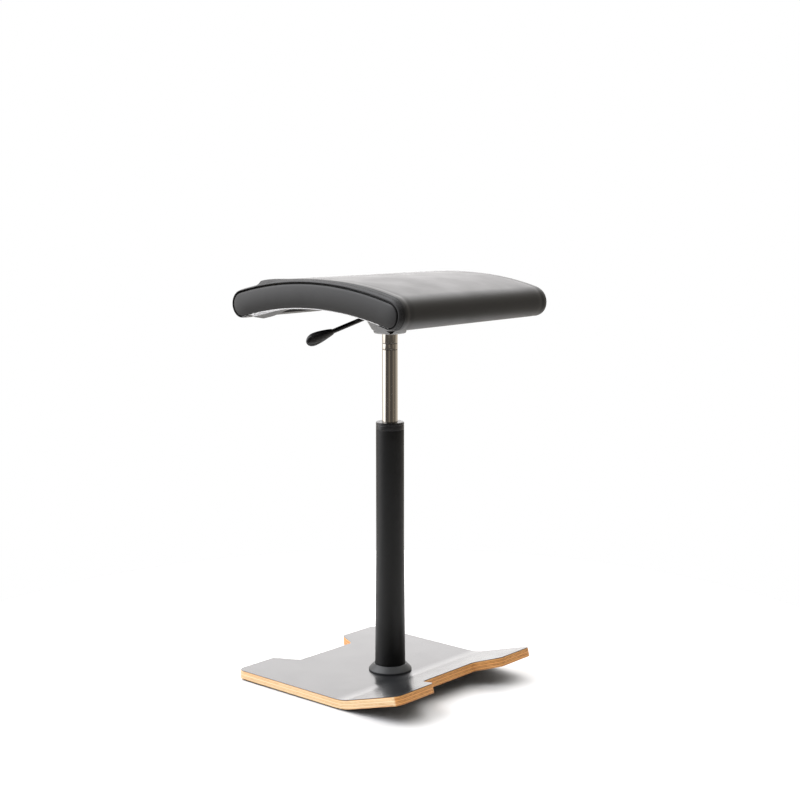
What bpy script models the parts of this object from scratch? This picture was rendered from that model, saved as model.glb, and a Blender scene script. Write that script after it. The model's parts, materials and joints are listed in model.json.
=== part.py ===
"""Saddle stool: an arched leather seat on a gas lift, standing on a bent plywood foot board.

Metres, +Z up. The origin lies on the column axis at floor level. The sitter faces -Y, and the
release lever is under the sitter's right hand, on the -X side.
"""
import math

import bmesh
import bpy
from mathutils import Matrix, Vector

MM = 0.001

# Fits
SEAT_GAP = 0.3 * MM
SLIDE_GAP = 0.3 * MM
BOLT_CLEARANCE = 0.3 * MM
CUT_OVERRUN = 2 * MM

# Foot board
BASE_WIDTH = 374 * MM
REAR_REACH = 211 * MM
BEND_START = 35.5 * MM
BEND_RADIUS = 125 * MM
BEND_ANGLE = math.radians(16)
RAMP_LENGTH = 118 * MM
CORNER_RADIUS = 15 * MM
NOTCH_HALF_WIDTH = 66 * MM
NOTCH_SHOULDER = 34 * MM
NOTCH_DEPTH = 47 * MM
PLY_THICKNESS = 15.5 * MM
LAMINATE_THICKNESS = 0.9 * MM
SOLE_THICKNESS = 2 * MM
SOLE_INSET = 3 * MM
SOLE_RIM = 6 * MM
BEND_STEPS = 6
CORNER_STEPS = 5
SHOULDER_STEPS = 8

# Column foot
FLANGE_DIAMETER = 72 * MM
FLANGE_THICKNESS = 3 * MM
FLANGE_BOLT_CIRCLE = 63 * MM
FLANGE_BOLT_COUNT = 4
FLANGE_BOLT_DIAMETER = 5 * MM
FLANGE_BOLT_HEAD = 8.5 * MM
FLANGE_BOLT_HEAD_HEIGHT = 3 * MM
FLANGE_BOLT_STOP = 0.5 * MM
BACKING_THICKNESS = 3 * MM
RECESS_CLEARANCE = 0.5 * MM
COLLAR_DIAMETER = 79 * MM
COLLAR_HEIGHT = 12.5 * MM
COLLAR_RIM = 2.4 * MM
COLLAR_TOP_WALL = 2 * MM

# Column tube
TUBE_DIAMETER = 51 * MM
TUBE_FOOT_DIAMETER = 56 * MM
TUBE_FLARE_HEIGHT = 240 * MM
TUBE_WALL = 2 * MM
TUBE_LENGTH = 449 * MM
BUSH_LENGTH = 76 * MM
BUSH_CAP_HEIGHT = 14 * MM
BUSH_CAP_CHAMFER = 1 * MM
BUSH_GROOVE_DROP = 4.5 * MM
BUSH_GROOVE_WIDTH = 1 * MM
BUSH_GROOVE_DEPTH = 0.6 * MM

# Gas lift
CYLINDER_DIAMETER = 28 * MM
CYLINDER_WALL = 1.8 * MM
CYLINDER_LENGTH = 437 * MM
CYLINDER_LIP = 2 * MM
CYLINDER_LIP_BORE = 18 * MM
CYLINDER_CROWN = 12 * MM
CYLINDER_CROWN_BORE = 16 * MM
TAPER_LENGTH = 29 * MM
TAPER_TIP_DIAMETER = 26.4 * MM
RING_GROOVE_DEPTH = 0.25 * MM
RING_GROOVE_WIDTH = 1 * MM
RING_GROOVE_DROPS = (17 * MM, 28 * MM)
ROD_DIAMETER = 10 * MM
ROD_SPIGOT_DIAMETER = 8 * MM
ROD_LENGTH = 369 * MM
ROD_GUIDE_LENGTH = 26 * MM
PISTON_LENGTH = 16 * MM
PISTON_GROOVE_DEPTH = 2 * MM
PISTON_GROOVE_WIDTH = 3.6 * MM
PISTON_NUT_DIAMETER = 14 * MM
PISTON_NUT_HEIGHT = 5 * MM
VALVE_LENGTH = 60 * MM
END_PLATE_RISE = 12 * MM
END_PLATE_THICKNESS = 4 * MM
RACE_DIAMETER = 30 * MM
RACE_THICKNESS = 2 * MM
CAGE_DIAMETER = 28 * MM
CAGE_THICKNESS = 4 * MM
CLIP_DIAMETER = 16 * MM
CLIP_THICKNESS = 2 * MM
CLIP_GROOVE_DEPTH = 1 * MM
ROD_END_LENGTH = 4 * MM
BUFFER_DIAMETER = 26 * MM
BUFFER_HEIGHT = 12 * MM

# Release
PIN_STEM_DIAMETER = 4 * MM
PIN_STEM_LENGTH = 48 * MM
PIN_HEAD_DIAMETER = 9 * MM
PIN_HEAD_HEIGHT = 4 * MM
PIN_PROUD = 9.7 * MM
LEVER_REST_GAP = 0.4 * MM
LEVER_DIAMETER = 8 * MM
LEVER_SLOPE = math.radians(12.4)
LEVER_REACH = 211.5 * MM
LEVER_INNER_END = 5 * MM
PIVOT_OFFSET = 27 * MM
PIVOT_DIAMETER = 5 * MM
PIVOT_HEAD_DIAMETER = 8 * MM
PIVOT_HEAD_HEIGHT = 1.5 * MM
LEVER_BOSS_DIAMETER = 13 * MM
LEVER_BOSS_WIDTH = 10.4 * MM
GRIP_LENGTH = 63 * MM
GRIP_NECK_DIAMETER = 11 * MM
GRIP_HEIGHT = 22.5 * MM
GRIP_WIDTH = 15 * MM
GRIP_FULLEST = 0.62
GRIP_TIP_POWER = 2.4
GRIP_TIP_FLAT = 0.02
GRIP_BORE_DEPTH = 42 * MM
GRIP_STEPS = 10
GRIP_SIDES = 16

# Seat bracket
BRACKET_DEPTH = 55 * MM
BRACKET_WALL = 2.5 * MM
BRACKET_FLOOR_HALF = 23.5 * MM
BRACKET_FLARE = 0.46
BRACKET_EDGE_ROUND = 2.5 * MM
BRACKET_SQUARENESS = 4
BRACKET_SIDES = 32
LEVER_WINDOW_DIAMETER = 14 * MM
HUB_DIAMETER = 36 * MM
HUB_SHOULDER_DIAMETER = 38.4 * MM
HUB_SHOULDER_HEIGHT = 4 * MM
LUG_THICKNESS = 3 * MM
LUG_DROP = 4 * MM
LUG_MARGIN = 4.2 * MM
LUG_ROOT = 3.5 * MM
SEAT_PLATE_THICKNESS = 3 * MM
SEAT_PLATE_HALF_LENGTH = 64 * MM
SEAT_PLATE_HALF_WIDTH = 76 * MM
PLATE_WINDOW_HALF = 42 * MM
SEAT_BOLT_FORWARD = 52 * MM
SEAT_BOLT_ACROSS = 64 * MM
SEAT_BOLT_DIAMETER = 6 * MM
SEAT_BOLT_HEAD = 12 * MM
SEAT_BOLT_HEAD_HEIGHT = 3.5 * MM
SEAT_BOLT_STOP = 1 * MM

# Saddle
SADDLE_HEIGHT = 740.5 * MM
SEAT_FRONT_REACH = 196 * MM
SEAT_REAR_REACH = 191.5 * MM
SEAT_WIDTH = 411.5 * MM
PAD_THICKNESS = 44.5 * MM
TOP_RADIUS = 684 * MM
FRONT_NOSE_RADIUS = 22 * MM
REAR_NOSE_RADIUS = 22.5 * MM
CROWN_HEIGHT = 5.2 * MM
CROWN_POWER = 7
CROWN_FADE_POWER = 3
FRONT_CROWN_SHARE = 1.7
REAR_CROWN_SHARE = 0.6
REAR_CROWN_START = 140 * MM
REAR_CROWN_END = 122 * MM
LEATHER = 1.5 * MM
FOAM_GAP = 0.8 * MM
LIP_LENGTH = 34 * MM
PANEL_BULGE = 6 * MM
PANEL_ROUND = 7 * MM
PANEL_ROUND_SHARE = 0.7
SHELL_THICKNESS = 9 * MM
LINING_THICKNESS = 1 * MM
LINING_MARGIN = 1 * MM
TEE_FLANGE_DIAMETER = 18 * MM
TEE_FLANGE_THICKNESS = 1.5 * MM
TEE_BARREL_WALL = 1.2 * MM
TOP_STEPS = 14
NOSE_STEPS = 6
LIP_STEPS = 2
HALF_WIDTH_STEPS = 7

ROUND_SIDES = 32
SMALL_SIDES = 16
HEX_SIDES = 6

# Heights that follow from the stack of the base and column
PLY_BOTTOM = SOLE_THICKNESS + SEAT_GAP
PLY_TOP = PLY_BOTTOM + PLY_THICKNESS
LAMINATE_TOP = PLY_TOP + SEAT_GAP + LAMINATE_THICKNESS
TUBE_BOTTOM = PLY_TOP + SEAT_GAP
TUBE_TOP = TUBE_BOTTOM + TUBE_LENGTH
FLANGE_TOP = TUBE_BOTTOM + FLANGE_THICKNESS
RECESS_TOP = (PLY_BOTTOM + FLANGE_BOLT_HEAD_HEIGHT + SEAT_GAP + BACKING_THICKNESS + SEAT_GAP)
BACKING_TOP = RECESS_TOP - SEAT_GAP
BACKING_BOTTOM = BACKING_TOP - BACKING_THICKNESS
TUBE_BORE_RADIUS = TUBE_DIAMETER / 2 - TUBE_WALL

# Heights of the thrust bearing and rod
END_PLATE_BOTTOM = TUBE_BOTTOM + END_PLATE_RISE
END_PLATE_TOP = END_PLATE_BOTTOM + END_PLATE_THICKNESS
LOWER_RACE_BOTTOM = END_PLATE_TOP + SEAT_GAP
CAGE_BOTTOM = LOWER_RACE_BOTTOM + RACE_THICKNESS + SEAT_GAP
UPPER_RACE_BOTTOM = CAGE_BOTTOM + CAGE_THICKNESS + SEAT_GAP
ROD_SHOULDER = UPPER_RACE_BOTTOM + RACE_THICKNESS + SEAT_GAP
CLIP_TOP = END_PLATE_BOTTOM - SEAT_GAP
CLIP_BOTTOM = CLIP_TOP - CLIP_THICKNESS
ROD_END = CLIP_BOTTOM - SEAT_GAP - ROD_END_LENGTH
PISTON_SEAT = ROD_SHOULDER + ROD_LENGTH
PISTON_BOTTOM = PISTON_SEAT + SEAT_GAP
PISTON_TOP = PISTON_BOTTOM + PISTON_LENGTH
NUT_BOTTOM = PISTON_TOP + SEAT_GAP

# Heights of the bracket, lift and lever, measured down from the saddle
PAD_BOTTOM = SADDLE_HEIGHT - PAD_THICKNESS
BRACKET_BOTTOM = PAD_BOTTOM - BRACKET_DEPTH
BRACKET_FLOOR = BRACKET_BOTTOM + BRACKET_WALL
TAPER_START = BRACKET_FLOOR
CYLINDER_TOP = TAPER_START + TAPER_LENGTH
CYLINDER_BOTTOM = CYLINDER_TOP - CYLINDER_LENGTH
CYLINDER_BORE_RADIUS = CYLINDER_DIAMETER / 2 - CYLINDER_WALL
CROWN_UNDERSIDE = CYLINDER_TOP - CYLINDER_CROWN
PIN_TOP = CYLINDER_TOP + PIN_PROUD
PIN_EDGE_RISE = PIN_HEAD_DIAMETER / 2 * math.tan(LEVER_SLOPE)
LEVER_AXIS_HEIGHT = PIN_TOP + LEVER_REST_GAP + PIN_EDGE_RISE + LEVER_DIAMETER / 2 / math.cos(LEVER_SLOPE)
PIVOT_HEIGHT = LEVER_AXIS_HEIGHT - PIVOT_OFFSET * math.tan(LEVER_SLOPE)
LEVER_TIP = (LEVER_REACH - PIVOT_OFFSET) / math.cos(LEVER_SLOPE)
LUG_INNER = LEVER_BOSS_WIDTH / 2 + SLIDE_GAP

# Widths and layers of the saddle
PANEL_INNER = SEAT_WIDTH / 2 - PANEL_BULGE - LEATHER
COVER_HALF_WIDTH = PANEL_INNER - SEAT_GAP
LINING_TOP = LEATHER
SHELL_BOTTOM = LEATHER + SEAT_GAP
SHELL_TOP = SHELL_BOTTOM + SHELL_THICKNESS
FOAM_BOTTOM = SHELL_TOP + SEAT_GAP
FOAM_INSET = LEATHER + FOAM_GAP


# Scene and mesh helpers

def clear_scene():
    for old in list(bpy.data.objects):
        bpy.data.objects.remove(old, do_unlink=True)


def finish(name, colour, roughness, metallic):
    material = bpy.data.materials.new(name)
    material.use_nodes = True
    shader = material.node_tree.nodes["Principled BSDF"]
    shader.inputs["Base Color"].default_value = (*colour, 1)
    shader.inputs["Roughness"].default_value = roughness
    shader.inputs["Metallic"].default_value = metallic
    return material


def empty(name, location=(0, 0, 0), rotation=(0, 0, 0), parent=None):
    frame = bpy.data.objects.new(name, None)
    bpy.context.scene.collection.objects.link(frame)
    frame.location = location
    frame.rotation_euler = rotation
    frame.parent = parent
    return frame


def piece(name, mesh_builder, material, parent=None, location=(0, 0, 0), rotation=(0, 0, 0)):
    bmesh.ops.recalc_face_normals(mesh_builder, faces=mesh_builder.faces)
    mesh = bpy.data.meshes.new(name)
    mesh_builder.to_mesh(mesh)
    mesh_builder.free()
    if material:
        mesh.materials.append(material)
    mesh.shade_smooth()
    mesh.set_sharp_from_angle(angle=math.radians(30))
    made = bpy.data.objects.new(name, mesh)
    bpy.context.scene.collection.objects.link(made)
    made.parent = parent
    made.location = location
    made.rotation_euler = rotation
    return made


def cutter(name, mesh_builder, parent=None, location=(0, 0, 0), rotation=(0, 0, 0)):
    tool = piece(name, mesh_builder, None, parent, location, rotation)
    tool.hide_render = True
    tool.display_type = "WIRE"
    return tool


def combine(target, tool, operation="DIFFERENCE"):
    boolean = target.modifiers.new(tool.name, "BOOLEAN")
    boolean.operation = operation
    boolean.solver = "EXACT"
    boolean.object = tool


def turned(profile, sides=ROUND_SIDES):
    """Spin a closed outline of (radius, height) points about Z."""
    shape = bmesh.new()
    points = [shape.verts.new((radius, 0, height)) for radius, height in profile]
    edges = [shape.edges.new((points[i - 1], points[i])) for i in range(len(points))]
    bmesh.ops.spin(shape, geom=points + edges, cent=(0, 0, 0), axis=(0, 0, 1),
                   angle=math.tau, steps=sides, use_merge=True)
    bmesh.ops.remove_doubles(shape, verts=shape.verts, dist=0.001 * MM)
    on_axis = [edge for edge in shape.edges if not edge.link_faces]
    bmesh.ops.delete(shape, geom=on_axis, context="EDGES")
    return shape


def washer(outer, inner, bottom, top, sides=ROUND_SIDES):
    return turned([(outer, top), (outer, bottom), (inner, bottom), (inner, top)], sides)


def rods(places, radius, bottom, top, sides=SMALL_SIDES):
    """Upright round rods at the given (x, y) places, in one mesh."""
    shape = bmesh.new()
    for x, y in places:
        middle = Matrix.Translation((x, y, (bottom + top) / 2))
        bmesh.ops.create_cone(shape, cap_ends=True, segments=sides, radius1=radius, radius2=radius,
                              depth=top - bottom, matrix=middle)
    return shape


def blocks(corners):
    """Boxes given by their low and high corners, in one mesh."""
    shape = bmesh.new()
    for low, high in corners:
        low, high = Vector(low), Vector(high)
        size = Matrix.Diagonal((*(high - low), 1))
        bmesh.ops.create_cube(shape, size=1, matrix=Matrix.Translation((low + high) / 2) @ size)
    return shape


def loft(rings, close_path=False):
    """Join rings of equal length, whose second half runs back along the first.

    Both halves are split along the same diagonals, so that nested skins stay clear of each other.
    An open loft is closed by ribs across each end ring.
    """
    shape = bmesh.new()
    grid = [[shape.verts.new(point) for point in ring] for ring in rings]
    count = len(grid[0])
    pairs = list(zip(grid, grid[1:]))
    if close_path:
        pairs.append((grid[-1], grid[0]))
    for near, far in pairs:
        for i in range(count):
            a, b, c, d = near[i - 1], near[i], far[i], far[i - 1]
            halves = ((a, b, c), (a, c, d)) if i < count / 2 else ((a, b, d), (b, c, d))
            for corners in halves:
                shape.faces.new(corners)
    if not close_path:
        for ring in (grid[0], grid[-1]):
            rib_cap(shape, ring)
    return shape


def rib_cap(shape, ring):
    """Fill a ring whose second half runs back along its first half."""
    count = len(ring)
    for i in range(count // 2 - 1):
        shape.faces.new((ring[i], ring[i + 1], ring[count - 2 - i], ring[count - 1 - i]))


def smooth_step(value):
    value = min(max(value, 0), 1)
    return value * value * (3 - 2 * value)


# Foot board

def board_point(along, depth):
    """Point at a distance along the bent top face, forward of the column, and a depth below it."""
    bend_length = BEND_RADIUS * BEND_ANGLE
    angle = min(max((along - BEND_START) / BEND_RADIUS, 0), BEND_ANGLE)
    flat = min(along, BEND_START)
    ramp = max(along - BEND_START - bend_length, 0)
    radius = BEND_RADIUS + depth
    forward = flat + radius * math.sin(angle) + ramp * math.cos(angle)
    height = LAMINATE_TOP + BEND_RADIUS - radius * math.cos(angle) + ramp * math.sin(angle)
    return -forward, height


def end_setback(across, half_width):
    """How far the end of the board lies inside its full length at a distance across."""
    shoulder = smooth_step((abs(across) - NOTCH_HALF_WIDTH) / NOTCH_SHOULDER)
    setback = NOTCH_DEPTH * (1 - shoulder)
    into_corner = abs(across) - (half_width - CORNER_RADIUS)
    if into_corner > 0:
        setback += CORNER_RADIUS - math.sqrt(max(CORNER_RADIUS ** 2 - into_corner ** 2, 0))
    return setback


def board_stations(half_width):
    side = [NOTCH_HALF_WIDTH + NOTCH_SHOULDER * i / SHOULDER_STEPS for i in range(SHOULDER_STEPS + 1)]
    for i in range(CORNER_STEPS + 1):
        angle = math.pi / 2 * i / CORNER_STEPS
        side.append(half_width - CORNER_RADIUS + CORNER_RADIUS * math.sin(angle))
    return [-across for across in reversed(side)] + side


def bent_sheet(top_depth, bottom_depth):
    """A sheet with the outline of the foot board, between two depths under the laminate's top face."""
    half_width = BASE_WIDTH / 2
    bend_length = BEND_RADIUS * BEND_ANGLE
    front = BEND_START + bend_length + RAMP_LENGTH
    bend = [BEND_START + bend_length * i / BEND_STEPS for i in range(BEND_STEPS + 1)]
    rings = []
    for across in board_stations(half_width):
        setback = end_setback(across, half_width)
        run = [setback - REAR_REACH, *bend, front - setback]
        upper = [(across, *board_point(along, top_depth)) for along in run]
        lower = [(across, *board_point(along, bottom_depth)) for along in reversed(run)]
        rings.append(upper + lower)
    return loft(rings)


def sole_sheet():
    """The sole, glued under the flat part of the board, which covers the hub recess and a rim around it."""
    half_width = BASE_WIDTH / 2 - SOLE_INSET
    front = -max(BEND_START, FLANGE_DIAMETER / 2 + RECESS_CLEARANCE + SOLE_RIM)
    rings = []
    for across in board_stations(half_width):
        rear = REAR_REACH - SOLE_INSET - end_setback(across, half_width)
        rings.append([(across, front, SOLE_THICKNESS), (across, rear, SOLE_THICKNESS),
                      (across, rear, 0), (across, front, 0)])
    return loft(rings)


def flange_bolt_places():
    turn = math.tau / FLANGE_BOLT_COUNT
    radius = FLANGE_BOLT_CIRCLE / 2
    angles = [turn * (i + 0.5) for i in range(FLANGE_BOLT_COUNT)]
    return [(radius * math.cos(angle), radius * math.sin(angle)) for angle in angles]


def build_base():
    plywood = finish("birch_plywood", (0.72, 0.50, 0.27), 0.5, 0)
    laminate = finish("dark_laminate", (0.12, 0.12, 0.13), 0.22, 0)
    rubber = finish("sole_rubber", (0.02, 0.02, 0.02), 0.85, 0)
    steel = finish("zinc_steel", (0.55, 0.55, 0.56), 0.35, 1)
    ply_depth = LAMINATE_TOP - PLY_TOP
    board = piece("base_board", bent_sheet(ply_depth, ply_depth + PLY_THICKNESS), plywood)
    skin = piece("base_laminate", bent_sheet(0, LAMINATE_THICKNESS), laminate)
    piece("base_sole", sole_sheet(), rubber)

    hub_radius = FLANGE_DIAMETER / 2 + RECESS_CLEARANCE
    recess = cutter("recess_cutter", rods([(0, 0)], hub_radius, -CUT_OVERRUN, RECESS_TOP, ROUND_SIDES))
    hub = cutter("hub_cutter", rods([(0, 0)], hub_radius, PLY_TOP, FLANGE_TOP, ROUND_SIDES))
    hole_radius = FLANGE_BOLT_DIAMETER / 2 + BOLT_CLEARANCE
    holes_top = FLANGE_TOP + CUT_OVERRUN
    holes = cutter("flange_bolt_cutter", rods(flange_bolt_places(), hole_radius, 0, holes_top))
    combine(board, recess)
    combine(board, holes)
    combine(skin, hub)

    plate_radius = FLANGE_DIAMETER / 2
    backing = rods([(0, 0)], plate_radius, BACKING_BOTTOM, BACKING_TOP, ROUND_SIDES)
    combine(piece("backing_plate", backing, steel), holes)
    flange_bore = foot_radius(TUBE_BOTTOM) + SEAT_GAP
    flange = washer(plate_radius, flange_bore, TUBE_BOTTOM, FLANGE_TOP)
    combine(piece("column_flange", flange, steel), holes)
    for number, (x, y) in enumerate(flange_bolt_places(), start=1):
        piece(f"flange_bolt_{number}", flange_bolt(), steel, location=(x, y, 0))


def flange_bolt():
    head_radius = FLANGE_BOLT_HEAD / 2
    shank_radius = FLANGE_BOLT_DIAMETER / 2
    head_top = BACKING_BOTTOM - SEAT_GAP
    tip = FLANGE_TOP - FLANGE_BOLT_STOP
    head_bottom = head_top - FLANGE_BOLT_HEAD_HEIGHT
    return turned([(0, tip), (shank_radius, tip), (shank_radius, head_top), (head_radius, head_top),
                   (head_radius, head_bottom), (0, head_bottom)], SMALL_SIDES)


# Column

def foot_radius(height):
    """Outer radius of the tube, which flares towards its foot."""
    share = max(1 - (height - TUBE_BOTTOM) / TUBE_FLARE_HEIGHT, 0)
    return TUBE_DIAMETER / 2 + share * (TUBE_FOOT_DIAMETER - TUBE_DIAMETER) / 2


def build_column():
    powder_coat = finish("black_powder_coat", (0.015, 0.015, 0.016), 0.38, 0)
    nylon = finish("black_nylon", (0.02, 0.02, 0.021), 0.45, 0)
    moulding = finish("grey_moulding", (0.06, 0.06, 0.065), 0.55, 0)
    steel = finish("bearing_steel", (0.6, 0.6, 0.62), 0.25, 1)
    flare_top = TUBE_BOTTOM + TUBE_FLARE_HEIGHT
    tube = [(foot_radius(TUBE_TOP), TUBE_TOP), (foot_radius(flare_top), flare_top),
            (foot_radius(TUBE_BOTTOM), TUBE_BOTTOM), (TUBE_BORE_RADIUS, TUBE_BOTTOM),
            (TUBE_BORE_RADIUS, TUBE_TOP)]
    piece("column_tube", turned(tube), powder_coat)
    piece("foot_collar", turned(collar_profile()), moulding)
    piece("guide_bush", turned(bush_profile()), nylon)
    spigot_bore = ROD_SPIGOT_DIAMETER / 2 + SLIDE_GAP
    end_plate = washer(TUBE_BORE_RADIUS - SEAT_GAP, spigot_bore, END_PLATE_BOTTOM, END_PLATE_TOP)
    piece("tube_end_plate", end_plate, steel)
    race_top = LOWER_RACE_BOTTOM + RACE_THICKNESS
    race = washer(RACE_DIAMETER / 2, spigot_bore, LOWER_RACE_BOTTOM, race_top, SMALL_SIDES)
    piece("lower_race", race, steel)


def collar_profile():
    """Cone-shaped collar with a low upright rim, hollow over the flange."""
    bottom = LAMINATE_TOP + SEAT_GAP
    top = bottom + COLLAR_HEIGHT
    neck = foot_radius(top) + SEAT_GAP + COLLAR_TOP_WALL
    foot = COLLAR_DIAMETER / 2
    bore = foot_radius(bottom) + SEAT_GAP
    hollow = FLANGE_DIAMETER / 2 + SEAT_GAP
    hollow_top = FLANGE_TOP + SEAT_GAP
    return [(neck, top), (foot, bottom + COLLAR_RIM), (foot, bottom), (hollow, bottom), (hollow, hollow_top),
            (bore, hollow_top), (bore, top)]


def bush_profile():
    """Guide bush: a sleeve inside the tube under a cap with a chamfer and a thin groove."""
    cap_radius = TUBE_DIAMETER / 2
    sleeve_radius = TUBE_BORE_RADIUS - SEAT_GAP
    bore = CYLINDER_DIAMETER / 2 + SLIDE_GAP
    cap_bottom = TUBE_TOP + SEAT_GAP
    cap_top = cap_bottom + BUSH_CAP_HEIGHT
    groove_top = cap_top - BUSH_GROOVE_DROP
    groove_bottom = groove_top - BUSH_GROOVE_WIDTH
    groove_radius = cap_radius - BUSH_GROOVE_DEPTH
    sleeve_bottom = cap_bottom - BUSH_LENGTH
    return [(cap_radius - BUSH_CAP_CHAMFER, cap_top), (cap_radius, cap_top - BUSH_CAP_CHAMFER),
            (cap_radius, groove_top), (groove_radius, groove_top), (groove_radius, groove_bottom),
            (cap_radius, groove_bottom), (cap_radius, cap_bottom), (sleeve_radius, cap_bottom),
            (sleeve_radius, sleeve_bottom), (bore, sleeve_bottom), (bore, cap_top)]


# Gas lift

def build_lift_rod():
    """Fixed half of the gas spring, which swivels with the seat on the thrust bearing."""
    bright = finish("bright_steel", (0.66, 0.66, 0.67), 0.2, 1)
    cage_plastic = finish("cage_plastic", (0.55, 0.5, 0.4), 0.5, 0)
    rubber = finish("buffer_rubber", (0.02, 0.02, 0.02), 0.8, 0)
    piston_alloy = finish("piston_alloy", (0.75, 0.75, 0.76), 0.3, 1)
    piece("piston_rod", turned(rod_profile(), SMALL_SIDES), bright)
    spigot_bore = ROD_SPIGOT_DIAMETER / 2 + SLIDE_GAP
    cage_top = CAGE_BOTTOM + CAGE_THICKNESS
    cage = washer(CAGE_DIAMETER / 2, spigot_bore, CAGE_BOTTOM, cage_top, SMALL_SIDES)
    piece("ball_cage", cage, cage_plastic)
    race_top = UPPER_RACE_BOTTOM + RACE_THICKNESS
    race = washer(RACE_DIAMETER / 2, spigot_bore, UPPER_RACE_BOTTOM, race_top, SMALL_SIDES)
    piece("upper_race", race, bright)
    clip_bore = ROD_SPIGOT_DIAMETER / 2 - CLIP_GROOVE_DEPTH + SEAT_GAP
    piece("retaining_clip", washer(CLIP_DIAMETER / 2, clip_bore, CLIP_BOTTOM, CLIP_TOP, SMALL_SIDES), bright)
    buffer_bottom = ROD_SHOULDER + SEAT_GAP
    buffer_bore = ROD_DIAMETER / 2 + SEAT_GAP
    buffer_top = buffer_bottom + BUFFER_HEIGHT
    piece("buffer_ring", washer(BUFFER_DIAMETER / 2, buffer_bore, buffer_bottom, buffer_top, SMALL_SIDES), rubber)
    piece("piston", turned(piston_profile()), piston_alloy)
    seal_middle = (PISTON_BOTTOM + PISTON_TOP) / 2
    seal_half = PISTON_GROOVE_WIDTH / 2 - SEAT_GAP
    seal_bore = piston_radius() - PISTON_GROOVE_DEPTH + SEAT_GAP
    seal = washer(piston_radius(), seal_bore, seal_middle - seal_half, seal_middle + seal_half)
    piece("piston_seal", seal, rubber)
    nut_top = NUT_BOTTOM + PISTON_NUT_HEIGHT
    nut = piece("piston_nut", rods([(0, 0)], PISTON_NUT_DIAMETER / 2, NUT_BOTTOM, nut_top, HEX_SIDES), bright)
    nut_bore = ROD_SPIGOT_DIAMETER / 2 + BOLT_CLEARANCE
    thread = rods([(0, 0)], nut_bore, NUT_BOTTOM - CUT_OVERRUN, nut_top + CUT_OVERRUN)
    combine(nut, cutter("nut_thread_cutter", thread))


def piston_radius():
    return CYLINDER_BORE_RADIUS - SLIDE_GAP


def rod_profile():
    """Rod with a spigot at each end: the lower one in the bearing, the upper one in the piston."""
    body = ROD_DIAMETER / 2
    spigot = ROD_SPIGOT_DIAMETER / 2
    groove = spigot - CLIP_GROOVE_DEPTH
    top = NUT_BOTTOM + PISTON_NUT_HEIGHT + SEAT_GAP
    groove_top = CLIP_TOP + SEAT_GAP / 2
    groove_bottom = CLIP_BOTTOM - SEAT_GAP
    return [(0, top), (spigot, top), (spigot, PISTON_SEAT), (body, PISTON_SEAT), (body, ROD_SHOULDER),
            (spigot, ROD_SHOULDER), (spigot, groove_top), (groove, groove_top), (groove, groove_bottom),
            (spigot, groove_bottom), (spigot, ROD_END), (0, ROD_END)]


def piston_profile():
    outer = piston_radius()
    groove = outer - PISTON_GROOVE_DEPTH
    bore = ROD_SPIGOT_DIAMETER / 2 + SEAT_GAP
    middle = (PISTON_BOTTOM + PISTON_TOP) / 2
    groove_top = middle + PISTON_GROOVE_WIDTH / 2
    groove_bottom = middle - PISTON_GROOVE_WIDTH / 2
    return [(outer, PISTON_TOP), (outer, groove_top), (groove, groove_top), (groove, groove_bottom),
            (outer, groove_bottom), (outer, PISTON_BOTTOM), (bore, PISTON_BOTTOM), (bore, PISTON_TOP)]


def build_cylinder():
    """Sliding half of the gas spring, wedged into the seat hub by its taper."""
    polished = finish("polished_steel", (0.62, 0.6, 0.57), 0.14, 1)
    nylon = finish("guide_nylon", (0.03, 0.03, 0.03), 0.5, 0)
    brass = finish("valve_brass", (0.72, 0.55, 0.28), 0.3, 1)
    piece("gas_cylinder", turned(cylinder_profile()), polished)
    gland_radius = CYLINDER_BORE_RADIUS - SEAT_GAP
    gland_bottom = CYLINDER_BOTTOM + CYLINDER_LIP + SEAT_GAP
    gland_bore = ROD_DIAMETER / 2 + SLIDE_GAP
    gland = washer(gland_radius, gland_bore, gland_bottom, gland_bottom + ROD_GUIDE_LENGTH, SMALL_SIDES)
    piece("rod_guide", gland, nylon)
    neck = CYLINDER_CROWN_BORE / 2 - SEAT_GAP
    shoulder = CROWN_UNDERSIDE - SEAT_GAP
    bottom = shoulder - VALVE_LENGTH
    stem_bore = PIN_STEM_DIAMETER / 2 + SLIDE_GAP
    valve = [(neck, CYLINDER_TOP), (neck, shoulder), (gland_radius, shoulder), (gland_radius, bottom),
             (stem_bore, bottom), (stem_bore, CYLINDER_TOP)]
    piece("valve_body", turned(valve, SMALL_SIDES), brass)


def cylinder_profile():
    outer = CYLINDER_DIAMETER / 2
    tip = TAPER_TIP_DIAMETER / 2
    groove = outer - RING_GROOVE_DEPTH
    profile = [(tip, CYLINDER_TOP), (outer, TAPER_START)]
    for drop in RING_GROOVE_DROPS:
        upper = BRACKET_BOTTOM - drop
        lower = upper - RING_GROOVE_WIDTH
        profile += [(outer, upper), (groove, upper), (groove, lower), (outer, lower)]
    lip_top = CYLINDER_BOTTOM + CYLINDER_LIP
    lip_bore = CYLINDER_LIP_BORE / 2
    crown_bore = CYLINDER_CROWN_BORE / 2
    return profile + [(outer, CYLINDER_BOTTOM), (lip_bore, CYLINDER_BOTTOM), (lip_bore, lip_top),
                      (CYLINDER_BORE_RADIUS, lip_top), (CYLINDER_BORE_RADIUS, CROWN_UNDERSIDE),
                      (crown_bore, CROWN_UNDERSIDE), (crown_bore, CYLINDER_TOP)]


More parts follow.
